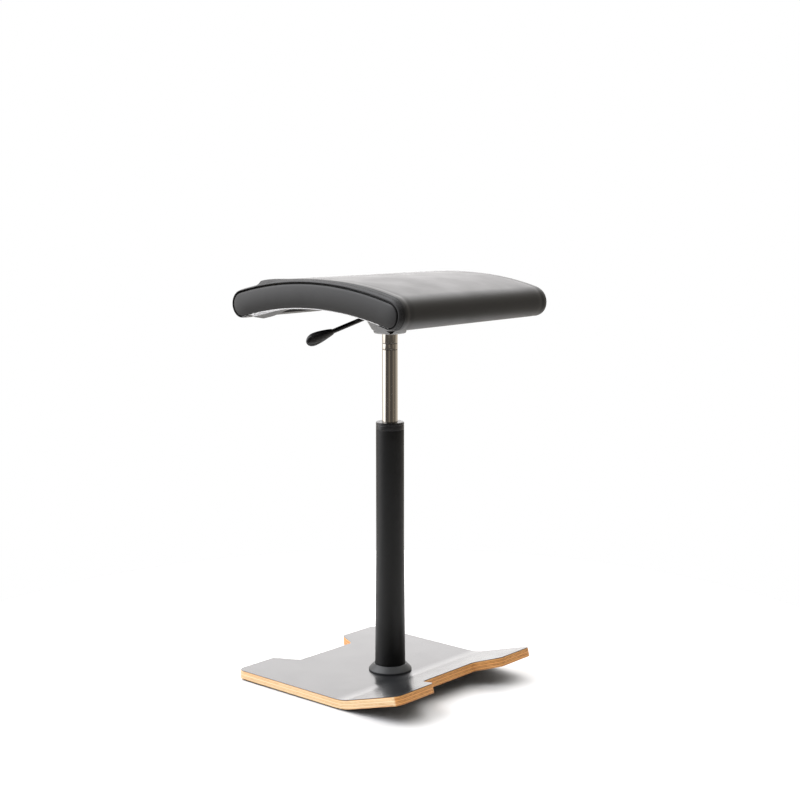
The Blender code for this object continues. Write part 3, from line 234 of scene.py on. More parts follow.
class SaddleSettings(bpy.types.PropertyGroup):
    """Arched leather saddle."""

    height: length("Height", "Height of the side seams' highest point", 740.5)
    front_reach: length("Front reach", "Distance of the front seam from the middle", 196)
    rear_reach: length("Rear reach", "Distance of the rear seam from the middle", 191.5)
    pad: length("Pad", "Thickness of the saddle at its middle", 44.5)
    top_radius: length("Top radius", "Radius of the arch", 684)
    front_nose: length("Front nose", "Radius of the front edge", 22)
    rear_nose: length("Rear nose", "Radius of the rear edge", 22.5)
    crown: length("Crown", "Rise of the leather above the side seams", 5.8)
    roll: length("Roll", "Width of the padded roll beside each side seam", 15)
    rim: length("Rim", "Height of the top's edge over the seam with a side panel", 0.6)
    overhang: length("Overhang", "How far the top's edge stands out over a side panel", 4)
    valley: length("Valley", "Depth of the slight hollow behind the roll", 0.5)
    front_crown: number("Front crown", "Share of the crown at the front", 1.7)
    rear_crown: number("Rear crown", "Share of the crown at the rear", 0.6)
    crown_start: length("Crown start", "Distance behind the middle where the crown starts to rise", 140)
    crown_end: length("Crown end", "Distance behind the middle where the crown is whole", 122)
    leather: length("Leather", "Thickness of the leather", 1.5)
    foam_margin: length("Foam margin", "How far the foam's sides stay behind the side panels", 14)
    foam_gap: length("Foam gap", "Gap between the leather and the foam", 0.8)
    lip: length("Lip", "Leather folded under each end", 14)
    # The folded strip's first band, this wide, carries the painted highlight of the panel's lower edge
    highlight_band_width: length("Tape width", "How far the binding tape reaches under the shell", 2)
    side_lip: length("Side lip", "Leather folded under each side", 26)
    shell: length("Shell", "Thickness of the plywood shell", 9)
    lining: length("Lining", "Thickness of the lining under the shell", 1)
    panel_drop: length("Panel drop", "How far a side panel's upper edge lies below the seam", 1.4)
    lean: length("Lean", "How much higher the padding is at the right seam than in the middle", 1.4)
    droop: length("Droop", "How far the leather folded under the right side hangs loose at the rear", 8)
    panel_round: length("Panel rounding", "How far the side panel's rounding reaches in from the seam", 1.6)
    panel_swell: length("Panel swell", "How far the middle of a side panel stands out", 3.4)
    panel_roll: length("Panel roll", "Height of a side panel's lower edge, pulled in under the seat", 3)
    gather: length("Gathers", "Height of the folds where a panel is drawn in under its rear end", 0.9)
    gather_pitch: length("Gather pitch", "Distance between those folds", 11)
    seam_width: length("Seam width", "Half width of the seam's dip", 0.7)
    first_row: length("First row", "Distance of the first stitched row from the seam", 3.2)
    row_spacing: length("Row spacing", "Distance between the stitched rows", 3.3)
    row_dip: length("Row dip", "How far the first stitched row pulls the leather in", 0.8)
    outer_dip: length("Outer row dip", "How far the second stitched row pulls the leather in", 1.8)
    pucker: length("Pucker", "Height of the loose fold beside the right seam, near the rear", 4)
    stitch: length("Stitch", "Length of one stitch", 4)
    stitch_gap: length("Stitch gap", "Gap between stitches", 1)
    thread: length("Thread", "Diameter of the thread", 0.8)
    unevenness: length("Unevenness", "Height of the slow waves in the leather", 0.06)
    hide: colour("Leather colour", "Black leather", "#242424")
    worn_hide: colour("Worn leather", "Leather rubbed grey along its edges", "#2C2C2E")
    # Painted highlight: pale grey on the lower edges of the side panels, for the white floor's reflection on
    # their rolled edges
    painted_edge_highlight: colour("Binding tape", "Pale tape along the lower edges of the side panels", "#E4E4E6")
    yarn: colour("Thread colour", "Black thread", "#151517")


class StageSettings(bpy.types.PropertyGroup):
    """Camera, floor and light."""

    turn: angle("Turn", "Direction of the camera from the column, from -X towards -Y", 41.63)
    distance: length("Distance", "Level distance of the camera from the column", 2719.6)
    height: length("Camera height", "Height of the camera", 903.8)
    pitch: angle("Pitch", "How far the camera looks down", 8.02)
    aside: angle("Aside", "How far the camera looks past the column", 0.38)
    lens: number("Lens", "Focal length in millimetres on a 36 mm sensor", 68.58)
    floor_radius: length("Floor radius", "Radius of the white floor", 1000)
    backdrop: number("Backdrop", "Brightness of the lit wall behind the stool", 2.1)
    horizon: number("Horizon", "Brightness of the white sweep round the stool", 0.67)
    side_box: number("Side light", "Brightness of the soft box on the left", 1.8)
    high_box: number("High light", "Brightness of the soft box high on the left", 3.4)
    top_box: number("Top light", "Brightness of the soft box above", 1.3)
    windows: number("Windows", "Brightness of the dim windows behind the camera", 0.14)
    room: number("Room", "Brightness of the dark room behind the camera", 0.1)


class StoolSettings(bpy.types.PropertyGroup):
    """Everything that a user would change."""

    board: PointerProperty(type=FootBoardSettings, name="Foot board", description="Bent plywood foot board")
    column: PointerProperty(type=ColumnSettings, name="Column", description="Tube, bush and collar")
    lift: PointerProperty(type=LiftSettings, name="Gas lift", description="Cylinder and inner parts")
    lever: PointerProperty(type=LeverSettings, name="Lever", description="Release lever and grip")
    bracket: PointerProperty(type=BracketSettings, name="Bracket", description="Pressed bowl under the seat")
    saddle: PointerProperty(type=SaddleSettings, name="Saddle", description="Arched leather saddle")
    stage: PointerProperty(type=StageSettings, name="Stage", description="Camera, floor and light")


# Mesh helpers

def spread(start, end, steps):
    """Evenly spaced values from start to end."""
    return [start + (end - start) * i / steps for i in range(steps + 1)]


def smooth_step(share):
    """Ease from 0 to 1."""
    share = min(max(share, 0), 1)
    return share * share * (3 - 2 * share)


def join(shape, near, far):
    """Fill the gap between two closed rings with quads."""
    for i in range(len(near)):
        shape.faces.new((near[i - 1], near[i], far[i], far[i - 1]))


def skin(rings, loop=False):
    """Join closed rings of points with quads. A loop joins the last ring to the first."""
    shape = bmesh.new()
    grid = [[shape.verts.new(point) for point in ring] for ring in rings]
    pairs = list(zip(grid, grid[1:]))
    if loop:
        pairs.append((grid[-1], grid[0]))
    for near, far in pairs:
        join(shape, near, far)
    return shape, grid


def rib_cap(shape, ring):
    """Fill a ring whose second half runs back along its first half."""
    count = len(ring)
    for i in range(count // 2 - 1):
        shape.faces.new((ring[i], ring[i + 1], ring[count - 2 - i], ring[count - 1 - i]))


def capped(rings):
    """Join closed rings, and fill the first and the last one."""
    shape, grid = skin(rings)
    rib_cap(shape, grid[0])
    rib_cap(shape, grid[-1])
    return shape


def turned(profile):
    """Spin a closed outline of (radius, height) points about the column axis."""
    rings = []
    for k in range(TURN_SIDES):
        turn = math.tau * k / TURN_SIDES
        x, y = math.cos(turn), math.sin(turn)
        rings.append([(radius * x, radius * y, height) for radius, height in profile])
    return skin(rings, loop=True)[0]


def eased(profile, radius, steps=3):
    """Round the corners of a closed outline."""
    corners = [Vector(point) for point in profile]
    outline = []
    for i, corner in enumerate(corners):
        before = corners[i - 1] - corner
        after = corners[(i + 1) % len(corners)] - corner
        start = corner + before.normalized() * min(radius, before.length / EASED_EDGE)
        end = corner + after.normalized() * min(radius, after.length / EASED_EDGE)
        for share in spread(0, 1, steps):
            outline.append(start.lerp(corner, share).lerp(corner.lerp(end, share), share))
    return outline


def plain_object(name, shape):
    """Link a mesh to the scene as an object."""
    bmesh.ops.recalc_face_normals(shape, faces=shape.faces)
    mesh = bpy.data.meshes.new(name)
    shape.to_mesh(mesh)
    shape.free()
    made = bpy.data.objects.new(name, mesh)
    bpy.context.scene.collection.objects.link(made)
    return made


def disc(radius, bottom, top):
    """Upright round block on the column axis, to cut with."""
    shape = bmesh.new()
    bmesh.ops.create_cone(shape, cap_ends=True, segments=TURN_SIDES, radius1=radius, radius2=radius,
                          depth=top - bottom, matrix=Matrix.Translation((0, 0, (bottom + top) / 2)))
    return shape


def carved(shape, tool):
    """Cut a closed tool shape out of a shape."""
    blank = plain_object("blank", shape)
    cutter = plain_object("cutter", tool)
    cut = blank.modifiers.new("cut", "BOOLEAN")
    cut.object = cutter
    cut.solver = "EXACT"
    rest = bmesh.new()
    rest.from_object(blank, bpy.context.evaluated_depsgraph_get())
    for used in (blank, cutter):
        mesh = used.data
        bpy.data.objects.remove(used)
        bpy.data.meshes.remove(mesh)
    return rest


def dress(name, shape, material, slot, body, *nodes, sharp=35):
    """Turn a mesh into a piece that rides on a body and stands for CAD nodes."""
    made = plain_object(name, shape)
    made.data.materials.append(material)
    made.data.shade_smooth()
    made.data.set_sharp_from_angle(angle=math.radians(sharp))
    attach(made, body)
    if nodes:
        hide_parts(*nodes)
    return made


def swell(made, loose, most):
    """Blow up the loose points of a sewn side piece with a cloth simulation, and smooth its fine ripples.

    The fullest point moves out by a given distance before the smoothing.
    """
    start = [vertex.co.copy() for vertex in made.data.vertices]
    sewn = made.vertex_groups.new(name="sewn")
    sewn.add([i for i in range(len(start)) if i not in loose], 1, "REPLACE")
    cloth = made.modifiers.new("cloth", "CLOTH")
    cloth.settings.vertex_group_mass = sewn.name
    cloth.settings.mass = CLOTH_MASS
    cloth.settings.quality = CLOTH_QUALITY
    cloth.settings.use_pressure = True
    cloth.settings.uniform_pressure_force = CLOTH_PRESSURE
    cloth.settings.effector_weights.gravity = 0
    cloth.point_cache.frame_end = SWELL_FRAMES
    for step in range(1, SWELL_FRAMES + 1):
        bpy.context.scene.frame_set(step)
    blown = made.evaluated_get(bpy.context.evaluated_depsgraph_get()).data
    moves = [vertex.co.x - co.x for vertex, co in zip(blown.vertices, start)]
    largest = max(abs(move) for move in moves)
    made.modifiers.remove(cloth)
    made.vertex_groups.remove(sewn)
    bpy.context.scene.frame_set(1)
    shape = bmesh.new()
    shape.from_mesh(made.data)
    shape.verts.ensure_lookup_table()
    face = [shape.verts[i] for i in sorted(loose)]
    for point in face:
        point.co.x += moves[point.index] * most / largest
    for _ in range(SMOOTH_ROUNDS):
        bmesh.ops.smooth_vert(shape, verts=face, factor=SMOOTH_FACTOR, use_axis_x=True)
    shape.to_mesh(made.data)
    shape.free()


def finish_nodes(material, *nodes):
    """Give CAD nodes whose shape is right their real finish."""
    for name in nodes:
        node = frame["nodes"][name]
        if not node.material_slots:
            node.data.materials.append(material)
        for material_slot in node.material_slots:
            material_slot.material = material


# Material helpers

def add_node(tree, kind, inputs, **settings):
    """Add a node with its settings, and fill its inputs with values or other nodes' outputs."""
    made = tree.nodes.new(kind)
    for name, value in settings.items():
        setattr(made, name, value)
    for key, value in inputs.items():
        if isinstance(value, bpy.types.NodeSocket):
            tree.links.new(value, made.inputs[key])
        else:
            made.inputs[key].default_value = value
    return made


def new_material(name, tint, **sockets):
    """A material, its node tree and its shader, with the values that are the same all over."""
    material = bpy.data.materials.new(name)
    material.use_nodes = True
    tree = material.node_tree
    shader = tree.nodes["Principled BSDF"]
    shader.inputs["Base Color"].default_value = (*tint, 1)
    for socket, value in sockets.items():
        shader.inputs[socket.replace("_", " ")].default_value = value
    return material, tree, shader


def grained(material_parts, grain, depth, rough_low, rough_high, patch):
    """Add a fine bump of a grain size and depth, and roughness that drifts in patches."""
    material, tree, shader = material_parts
    place = add_node(tree, COORDS, {}).outputs["Object"]
    drift = add_node(tree, NOISE, {"Vector": place, "Scale": 1 / patch, "Detail": 2})
    rough = add_node(tree, RANGE, {
        "Value": drift.outputs["Fac"], "From Min": NOISE_LOW, "From Max": NOISE_HIGH,
        "To Min": rough_low, "To Max": rough_high})
    tree.links.new(rough.outputs["Result"], shader.inputs["Roughness"])
    fine = add_node(tree, NOISE, {"Vector": place, "Scale": 1 / grain, "Detail": 2})
    bump = add_node(tree, BUMP, {"Height": fine.outputs["Fac"], "Distance": depth, "Strength": 1})
    tree.links.new(bump.outputs["Normal"], shader.inputs["Normal"])
    return material


# Materials

def birch_plywood(board):
    # Rotary-cut birch plywood, sanded and clear-lacquered, with alternating veneers, thin dark glue lines and
    # a dull gloss.
    #     # Its long edges, which face the sides, are pale, and its end edges amber: end grain darkens under
    #     lacquer, and this
    #     # split by facing also paints light on the side edges and shade on the front and rear edges
    material, tree, shader = new_material("birch_plywood_lacquered_edge", board.pale)
    coords = add_node(tree, COORDS, {})
    place = coords.outputs["Object"]
    depth = add_node(tree, "ShaderNodeAttribute", {}, attribute_name="depth").outputs["Fac"]
    drift = add_node(tree, NOISE, {"Vector": place, "Scale": 1 / (30 * MM), "Detail": 2})
    waver = add_node(tree, MATH, {0: drift.outputs["Fac"], 1: 0.5 * MM, 2: depth}, operation="MULTIPLY_ADD")
    layer = add_node(tree, MATH, {0: waver.outputs[0], 1: board.veneer}, operation="DIVIDE")
    half = add_node(tree, MATH, {0: layer.outputs[0], 1: 0.5}, operation="MULTIPLY")
    phase = add_node(tree, MATH, {0: half.outputs[0]}, operation="FRACT")
    crossed = add_node(tree, MATH, {0: phase.outputs[0], 1: 0.5}, operation="GREATER_THAN")
    from_line = add_node(tree, MATH, {0: layer.outputs[0], 1: 0.5}, operation="PINGPONG")
    line = add_node(tree, RANGE, {
        "Value": from_line.outputs[0], "From Min": 0.03, "From Max": 0.16, "To Min": 0.8, "To Max": 0},
        interpolation_type="SMOOTHSTEP")
    streak_size = (9 * MM, 14 * MM, 0.6 * MM)
    stretch = add_node(tree, "ShaderNodeMapping", {
        "Vector": place, "Scale": [1 / size for size in streak_size]})
    streak = add_node(tree, NOISE, {"Vector": stretch.outputs[0], "Scale": 1, "Detail": 3})
    pores = add_node(tree, NOISE, {"Vector": place, "Scale": 1 / (0.8 * MM), "Detail": 2})
    wash = add_node(tree, RANGE, {"Value": streak.outputs["Fac"], "From Min": 0.35, "From Max": 0.65})
    turn = add_node(tree, "ShaderNodeSeparateXYZ", {0: coords.outputs["Normal"]})
    sideways = add_node(tree, MATH, {0: turn.outputs["X"]}, operation="ABSOLUTE")
    # Edges that face the sides take the pale colours and all others the amber ones: partly painted light and
    # shade by facing
    lit_side_edges = add_node(tree, RANGE, {
        "Value": sideways.outputs[0], "From Min": 0.9, "From Max": 0.99}, interpolation_type="SMOOTHSTEP")
    faint = add_node(tree, MATH, {0: crossed.outputs[0], 1: wash.outputs["Result"]}, operation="MULTIPLY")
    along = add_node(tree, MIX, {
        0: faint.outputs[0], 6: (*board.pale, 1), 7: (*board.tan, 1)}, data_type="RGBA")
    end_brown_share = add_node(tree, MATH, {0: crossed.outputs[0], 1: 0.7, 2: 0.3}, operation="MULTIPLY_ADD")
    dark = add_node(tree, MATH, {0: end_brown_share.outputs[0], 1: wash.outputs["Result"]}, operation="MULTIPLY")
    ends = add_node(tree, MIX, {
        0: dark.outputs[0], 6: (*board.amber, 1), 7: (*board.brown, 1)}, data_type="RGBA")
    veneers = add_node(tree, MIX, {
        0: lit_side_edges.outputs["Result"], 6: ends.outputs[2], 7: along.outputs[2]}, data_type="RGBA")
    weak = add_node(tree, RANGE, {"Value": lit_side_edges.outputs["Result"], "To Min": 1, "To Max": 0.6})
    ink = add_node(tree, MATH, {0: line.outputs["Result"], 1: weak.outputs["Result"]}, operation="MULTIPLY")
    edge = add_node(tree, MIX, {
        0: ink.outputs[0], 6: veneers.outputs[2], 7: (*board.glue, 1)}, data_type="RGBA")
    tree.links.new(edge.outputs[2], shader.inputs["Base Color"])
    rough = add_node(tree, RANGE, {"Value": pores.outputs["Fac"], "To Min": 0.42, "To Max": 0.62})
    tree.links.new(rough.outputs["Result"], shader.inputs["Roughness"])
    bump = add_node(tree, BUMP, {"Height": pores.outputs["Fac"], "Distance": 0.05 * MM, "Strength": 0.6})
    tree.links.new(bump.outputs["Normal"], shader.inputs["Normal"])
    return material


def pressed_laminate(board):
    # High-pressure laminate, pressed against a satin plate: nearly black, with a level, slightly milky
    # mirror. The plate's 0.3 mm pearl is drawn at 0.9 mm so that it shows
    parts = new_material("high_pressure_laminate_satin", board.top, IOR=1.67)
    return grained(parts, 0.9 * MM, 0.001 * MM, 0.2, 0.25, 60 * MM)


def backing_sheet():
    # Phenolic backing sheet that balances the laminate: brown-black paper, pressed dull and slightly mottled
    parts = new_material("phenolic_backing_sheet", linear("#1E1C1B"))
    return grained(parts, 1.5 * MM, 0.01 * MM, 0.55, 0.7, 30 * MM)


def moulded_rubber():
    # Rubber sheet, calendered: matt and almost black, with a dusty, uneven face
    parts = new_material("calendered_rubber", linear("#1A1A1A"))
    return grained(parts, 1.5 * MM, 0.1 * MM, 0.75, 0.95, 20 * MM)


def powder_coat(column):
    # Black powder coat, baked: satin, with a soft orange peel about 2 mm across
    parts = new_material("black_powder_coat_baked", column.coat, IOR=1.5, Specular_IOR_Level=0.35)
    return grained(parts, 2 * MM, 0.02 * MM, 0.46, 0.54, 45 * MM)


def moulded_plastic(name, tint, rough_low, rough_high):
    # Glass-filled nylon, moulded in a spark-eroded tool: an even, very fine matt grain
    parts = new_material(name, tint, IOR=1.53)
    return grained(parts, 0.6 * MM, 0.02 * MM, rough_low, rough_high, 15 * MM)


def black_paint(lever):
    # Black stove enamel on a drawn steel rod: smooth, with a soft gloss
    parts = new_material("black_stove_enamel", lever.paint, IOR=1.5, Specular_IOR_Level=0.3)
    return grained(parts, 1.2 * MM, 0.01 * MM, 0.28, 0.38, 25 * MM)


def grey_coat(bracket):
    # Pressed steel sheet with a thin grey coat: the sheet's fine rolled grain shows through a satin gloss
    parts = new_material("pressed_steel_grey_coat", bracket.metal, IOR=1.5)
    return grained(parts, 0.8 * MM, 0.015 * MM, 0.34, 0.46, 18 * MM)


def polished_steel(lift):
    # Steel tube, ground between centres and polished: a clear mirror with faint rings round the tube.
    # Grinding lines of a few hundredths of a millimetre are drawn 0.5 mm apart so that they show
    material, tree, shader = new_material("ground_and_polished_steel", lift.steel, Metallic=1)
    place = add_node(tree, COORDS, {}).outputs["Object"]
    line_size = (40 * MM, 40 * MM, 0.5 * MM)
    stretch = add_node(tree, "ShaderNodeMapping", {
        "Vector": place, "Scale": [1 / size for size in line_size]})
    rings = add_node(tree, NOISE, {"Vector": stretch.outputs[0], "Scale": 1, "Detail": 2})
    rough = add_node(tree, RANGE, {
        "Value": rings.outputs["Fac"], "From Min": NOISE_LOW, "From Max": NOISE_HIGH,
        "To Min": 0.09, "To Max": 0.15})
    tree.links.new(rough.outputs["Result"], shader.inputs["Roughness"])
    bump = add_node(tree, BUMP, {"Height": rings.outputs["Fac"], "Distance": 0.002 * MM, "Strength": 1})
    tree.links.new(bump.outputs["Normal"], shader.inputs["Normal"])
    return material


def burnt_oil():
    # Hardened oil and polish left in a turned groove: dull, brown-black and uneven
    parts = new_material("hardened_polish_in_groove", linear("#17130F"))
    return grained(parts, 0.5 * MM, 0.05 * MM, 0.5, 0.7, 4 * MM)


def machined_metal(name, hex_colour, rough_low, rough_high):
    # Turned or plated metal inside the stool: bright, with fine tool marks about 0.4 mm apart
    parts = new_material(name, linear(hex_colour), Metallic=1)
    return grained(parts, 0.4 * MM, 0.01 * MM, rough_low, rough_high, 8 * MM)


def cast_iron():
    # Cast iron as it leaves the sand: dark grey, dull, with a coarse skin
    parts = new_material("sand_cast_iron", linear("#55565A"), Metallic=1)
    return grained(parts, 1.2 * MM, 0.12 * MM, 0.5, 0.7, 12 * MM)


def cut_foam():
    # Polyurethane foam, cut with a wire: open cells about 1 mm wide, with no gloss
    parts = new_material("wire_cut_polyurethane_foam", linear("#D8CFAF"))
    return grained(parts, 1.0 * MM, 0.4 * MM, 0.9, 1.0, 10 * MM)


def pale_edge_highlight_material(saddle):
    # Painted highlight on the lower edges of the side panels: pale grey for the white floor's reflection
    #     # on their rolled edges, dull, with ribs 0.7 mm apart
    parts = new_material("pale_edge_band_painted_highlight", saddle.painted_edge_highlight, IOR=1.5)
    return grained(parts, 0.7 * MM, 0.03 * MM, 0.5, 0.6, 20 * MM)


def matt_paper():
    # White matt paper under the stool: no gloss, so that it shows only soft shadows
    return new_material("white_matt_paper", linear("#F7F7F7"), Roughness=0.9, Specular_IOR_Level=0)[0]


def felted_lining():
    # Spun-bonded lining: black fibres pressed into a dull, slightly hairy cloth
    parts = new_material("spun_bonded_lining", linear("#0C0C0C"), Specular_IOR_Level=0.1)
    return grained(parts, 0.9 * MM, 0.15 * MM, 0.9, 1.0, 12 * MM)


def spun_thread(saddle):
    # Bonded polyester thread: twisted plies about 0.4 mm wide, with a low silky gloss
    parts = new_material("bonded_polyester_thread", saddle.yarn, Sheen_Weight=0.1)
    return grained(parts, 0.4 * MM, 0.08 * MM, 0.45, 0.6, 6 * MM)


def grain_leather(saddle):
    # Full-grain leather, drum-dyed black and lightly finished: a pebbled grain in a soft satin gloss,
    # duller where the hide is slack and rubbed grey along its edges. The 0.6 mm grain is drawn at 1.5 mm
    # so that it shows
    material, tree, shader = new_material("full_grain_leather_drum_dyed", saddle.hide, IOR=1.5)
    place = add_node(tree, COORDS, {}).outputs["Object"]
    wear = add_node(tree, "ShaderNodeAttribute", {}, attribute_name="wear").outputs["Fac"]
    cloud = add_node(tree, NOISE, {"Vector": place, "Scale": 1 / (55 * MM), "Detail": 3})
    rubbed = add_node(tree, MATH, {0: wear, 1: cloud.outputs["Fac"]}, operation="MULTIPLY")
    shade = add_node(tree, MIX, {
        0: rubbed.outputs[0], 6: (*saddle.hide, 1), 7: (*saddle.worn_hide, 1)}, data_type="RGBA")
    tree.links.new(shade.outputs[2], shader.inputs["Base Color"])
    rough = add_node(tree, RANGE, {
        "Value": cloud.outputs["Fac"], "From Min": NOISE_LOW, "From Max": NOISE_HIGH,
        "To Min": 0.4, "To Max": 0.47})
    tree.links.new(rough.outputs["Result"], shader.inputs["Roughness"])
    pebble = add_node(tree, "ShaderNodeTexVoronoi", {"Vector": place, "Scale": 1 / (1.5 * MM)},
                      feature="SMOOTH_F1")
    crease = add_node(tree, NOISE, {"Vector": place, "Scale": 1 / (6 * MM), "Detail": 4})
    grain = add_node(tree, MATH, {
        0: crease.outputs["Fac"], 1: 1.5, 2: pebble.outputs["Distance"]}, operation="MULTIPLY_ADD")
    bump = add_node(tree, BUMP, {"Height": grain.outputs[0], "Distance": 0.05 * MM, "Strength": 0.5})
    tree.links.new(bump.outputs["Normal"], shader.inputs["Normal"])
    return material


# Foot board

# Faces of the plywood that look down more than this carry the backing sheet
UNDERSIDE_FACING = -0.7


class BoardForm:
    """The board's outline and bend. A place on it is a distance along its top face and a depth below that."""

    def __init__(self, board):
        self.board = board
        self.half_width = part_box("base_board")[1].x
        self.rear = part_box("base_board")[1].y
        self.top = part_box("base_laminate")[0].z + board.laminate
        self.bend_length = board.bend_radius * board.bend_angle
        self.front = board.bend_start + self.bend_length + board.ramp

    def point(self, along, depth):
        board = self.board
        turn = min(max((along - board.bend_start) / board.bend_radius, 0), board.bend_angle)
        flat = min(along, board.bend_start)
        ramp = max(along - board.bend_start - self.bend_length, 0)
        radius = board.bend_radius + depth
        forward = flat + radius * math.sin(turn) + ramp * math.cos(turn)
        height = self.top + board.bend_radius - radius * math.cos(turn) + ramp * math.sin(turn)
        return -forward, height

    def depth_at(self, place):
        """Depth of a point below the bent top face."""
        board = self.board
        past = -place.y - board.bend_start
        below = self.top + board.bend_radius - place.z
        if past <= 0:
            return below - board.bend_radius
        turn = min(math.atan2(past, below), board.bend_angle)
        return past * math.sin(turn) + below * math.cos(turn) - board.bend_radius

    def setback(self, across):
        """How far the end of the board lies inside its full length at a distance across."""
        board = self.board
        shoulder = smooth_step((abs(across) - board.notch_half_width) / board.notch_shoulder)
        into_corner = max(abs(across) - (self.half_width - board.corner), 0)
        corner = board.corner - math.sqrt(max(board.corner ** 2 - into_corner ** 2, 0))
        return board.notch_depth * (1 - shoulder) + corner

    def stations(self, ease):
        """Places across the board, close together where its ends curve."""
        board = self.board
        inner = self.half_width - board.corner
        side = spread(board.notch_half_width, board.notch_half_width + board.notch_shoulder, SHOULDER_STEPS)
        turns = spread(0, math.pi / 2, CORNER_STEPS)
        side += [inner + (board.corner - ease) * math.sin(turn) for turn in turns]
        side.append(self.half_width)
        return [-across for across in reversed(side)] + side

    def sheet(self, upper, lower, ease):
        """A bent sheet between two depths, with eased edges."""
        board = self.board
        bend = spread(board.bend_start, board.bend_start + self.bend_length, BEND_STEPS)
        rings = []
        for across in self.stations(ease):
            setback = self.setback(across)
            rear, front = setback - self.rear, self.front - setback
            at_side = abs(across) == self.half_width
            high, low = (upper + ease, lower - ease) if at_side else (upper, lower)
            run = [rear + ease, *bend, front - ease]
            there = [(along, high) for along in run]
            back = [(along, low) for along in reversed(run)]
            way = [(rear, upper + ease), *there, (front, upper + ease)]
            way += [(front, lower - ease), *back, (rear, lower - ease)]
            rings.append([(across, *self.point(along, depth)) for along, depth in way])
        return capped(rings)


class STOOL_OT_foot_board(bpy.types.Operator):
    """Build the plywood board and its laminate, and finish what is fixed under them"""

    bl_idname = "stool.foot_board"
    bl_label = "Foot board"

    def execute(self, context):
        board = context.scene.stool.board
        form = BoardForm(board)
        ply_top = form.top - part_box("column_flange")[0].z + SEAT_GAP
        hub_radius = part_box("backing_plate")[1].x + PLATE_EDGE_GAP
        recess = disc(hub_radius, 0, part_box("backing_plate")[1].z + SEAT_GAP)
        ply = carved(form.sheet(ply_top, ply_top + board.ply, board.ease), recess)
        wood = dress("plywood_board", ply, birch_plywood(board), "birch_plywood", "base", "base_board")
        wood.data.materials.append(backing_sheet())
        for face in wood.data.polygons:
            if face.normal.z < UNDERSIDE_FACING:
                face.material_index = 1
        depths = [form.depth_at(vertex.co) - ply_top for vertex in wood.data.vertices]
        wood.data.attributes.new("depth", "FLOAT", "POINT").data.foreach_set("value", depths)
        hub = disc(hub_radius, form.top - 2 * board.laminate, form.top + board.laminate)
        top = carved(form.sheet(0, board.laminate, board.laminate / 4), hub)
        dress("laminate_top", top, pressed_laminate(board), "dark_laminate", "base", "base_laminate")
        finish_nodes(moulded_rubber(), "base_sole")
        zinc = machined_metal("zinc_plated_steel", "#B4B5B4", 0.28, 0.42)
        finish_nodes(zinc, "backing_plate", "column_flange", *[f"flange_bolt_{i}" for i in range(1, 5)])
        return {"FINISHED"}


# Column

class STOOL_OT_column(bpy.types.Operator):
    """Build the column tube, the bush that closes it and the collar round its foot"""

    bl_idname = "stool.column"
    bl_label = "Column"

    def execute(self, context):
        column = context.scene.stool.column
        self.low, self.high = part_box("column_tube")
        self.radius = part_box("guide_bush")[1].x
        self.column = column
        tube = turned(eased(self.tube(), TUBE_EDGE))
        dress("tube_coated", tube, powder_coat(column), "black_powder_coat", "base", "column_tube")
        bush = turned(eased(self.bush(), BUSH_EDGE))
        black = moulded_plastic("black_nylon_moulded", column.bush, 0.34, 0.42)
        dress("bush_moulded", bush, black, "black_nylon", "base", "guide_bush")
        collar = turned(eased(self.collar(), COLLAR_EDGE))
        grey = moulded_plastic("grey_nylon_moulded", column.collar, 0.42, 0.52)
        dress("collar_moulded", collar, grey, "grey_moulding", "base", "foot_collar")
        return {"FINISHED"}

    def outer(self, height):
        """Outer radius of the tube, which widens towards its foot."""
        share = max(1 - (height - self.low.z) / self.column.flare, 0)
        return self.radius + share * self.column.foot_growth / 2

    def tube(self):
        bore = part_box("tube_end_plate")[1].x + SEAT_GAP
        flank = [(self.outer(height), height) for height in spread(self.high.z, self.low.z, FLANK_STEPS)]
        return flank + [(bore, self.low.z), (bore, self.high.z)]

    def bush(self):
        column = self.column
        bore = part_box("gas_cylinder")[1].x + SEAT_GAP
        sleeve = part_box("tube_end_plate")[1].x
        low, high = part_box("guide_bush")
        cap_bottom = high.z - column.cap
        groove_top = high.z - column.groove_drop
        groove_bottom = groove_top - column.groove
        inner = self.radius - column.groove_depth
        cap = [(self.radius - column.cap_chamfer, high.z), (self.radius, high.z - column.cap_chamfer)]
        groove = [(self.radius, groove_top), (inner, groove_top)]
        groove += [(inner, groove_bottom), (self.radius, groove_bottom)]
        below = [(self.radius, cap_bottom), (sleeve, cap_bottom), (sleeve, low.z)]
        return [*cap, *groove, *below, (bore, low.z), (bore, high.z)]

    def collar(self):
        """Cone-shaped collar, hollow over the flange."""
        column = self.column
        low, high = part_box("foot_collar")
        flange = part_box("column_flange")[1]
        foot = high.x
        neck = self.outer(high.z) + SEAT_GAP + column.collar_top_wall
        bore = self.outer(low.z) + SEAT_GAP
        hollow_top = flange.z + SEAT_GAP
        hollow = flange.x + SEAT_GAP
        outside = [(neck, high.z), (foot, low.z + column.collar_rim), (foot, low.z)]
        return [*outside, (hollow, low.z), (hollow, hollow_top), (bore, hollow_top), (bore, high.z)]


# Gas lift

# Radius of the mouth that the rod comes out of, as a share of the cylinder's
MOUTH_SHARE = 0.64
GROOVE_TOLERANCE = 0.1 * MM


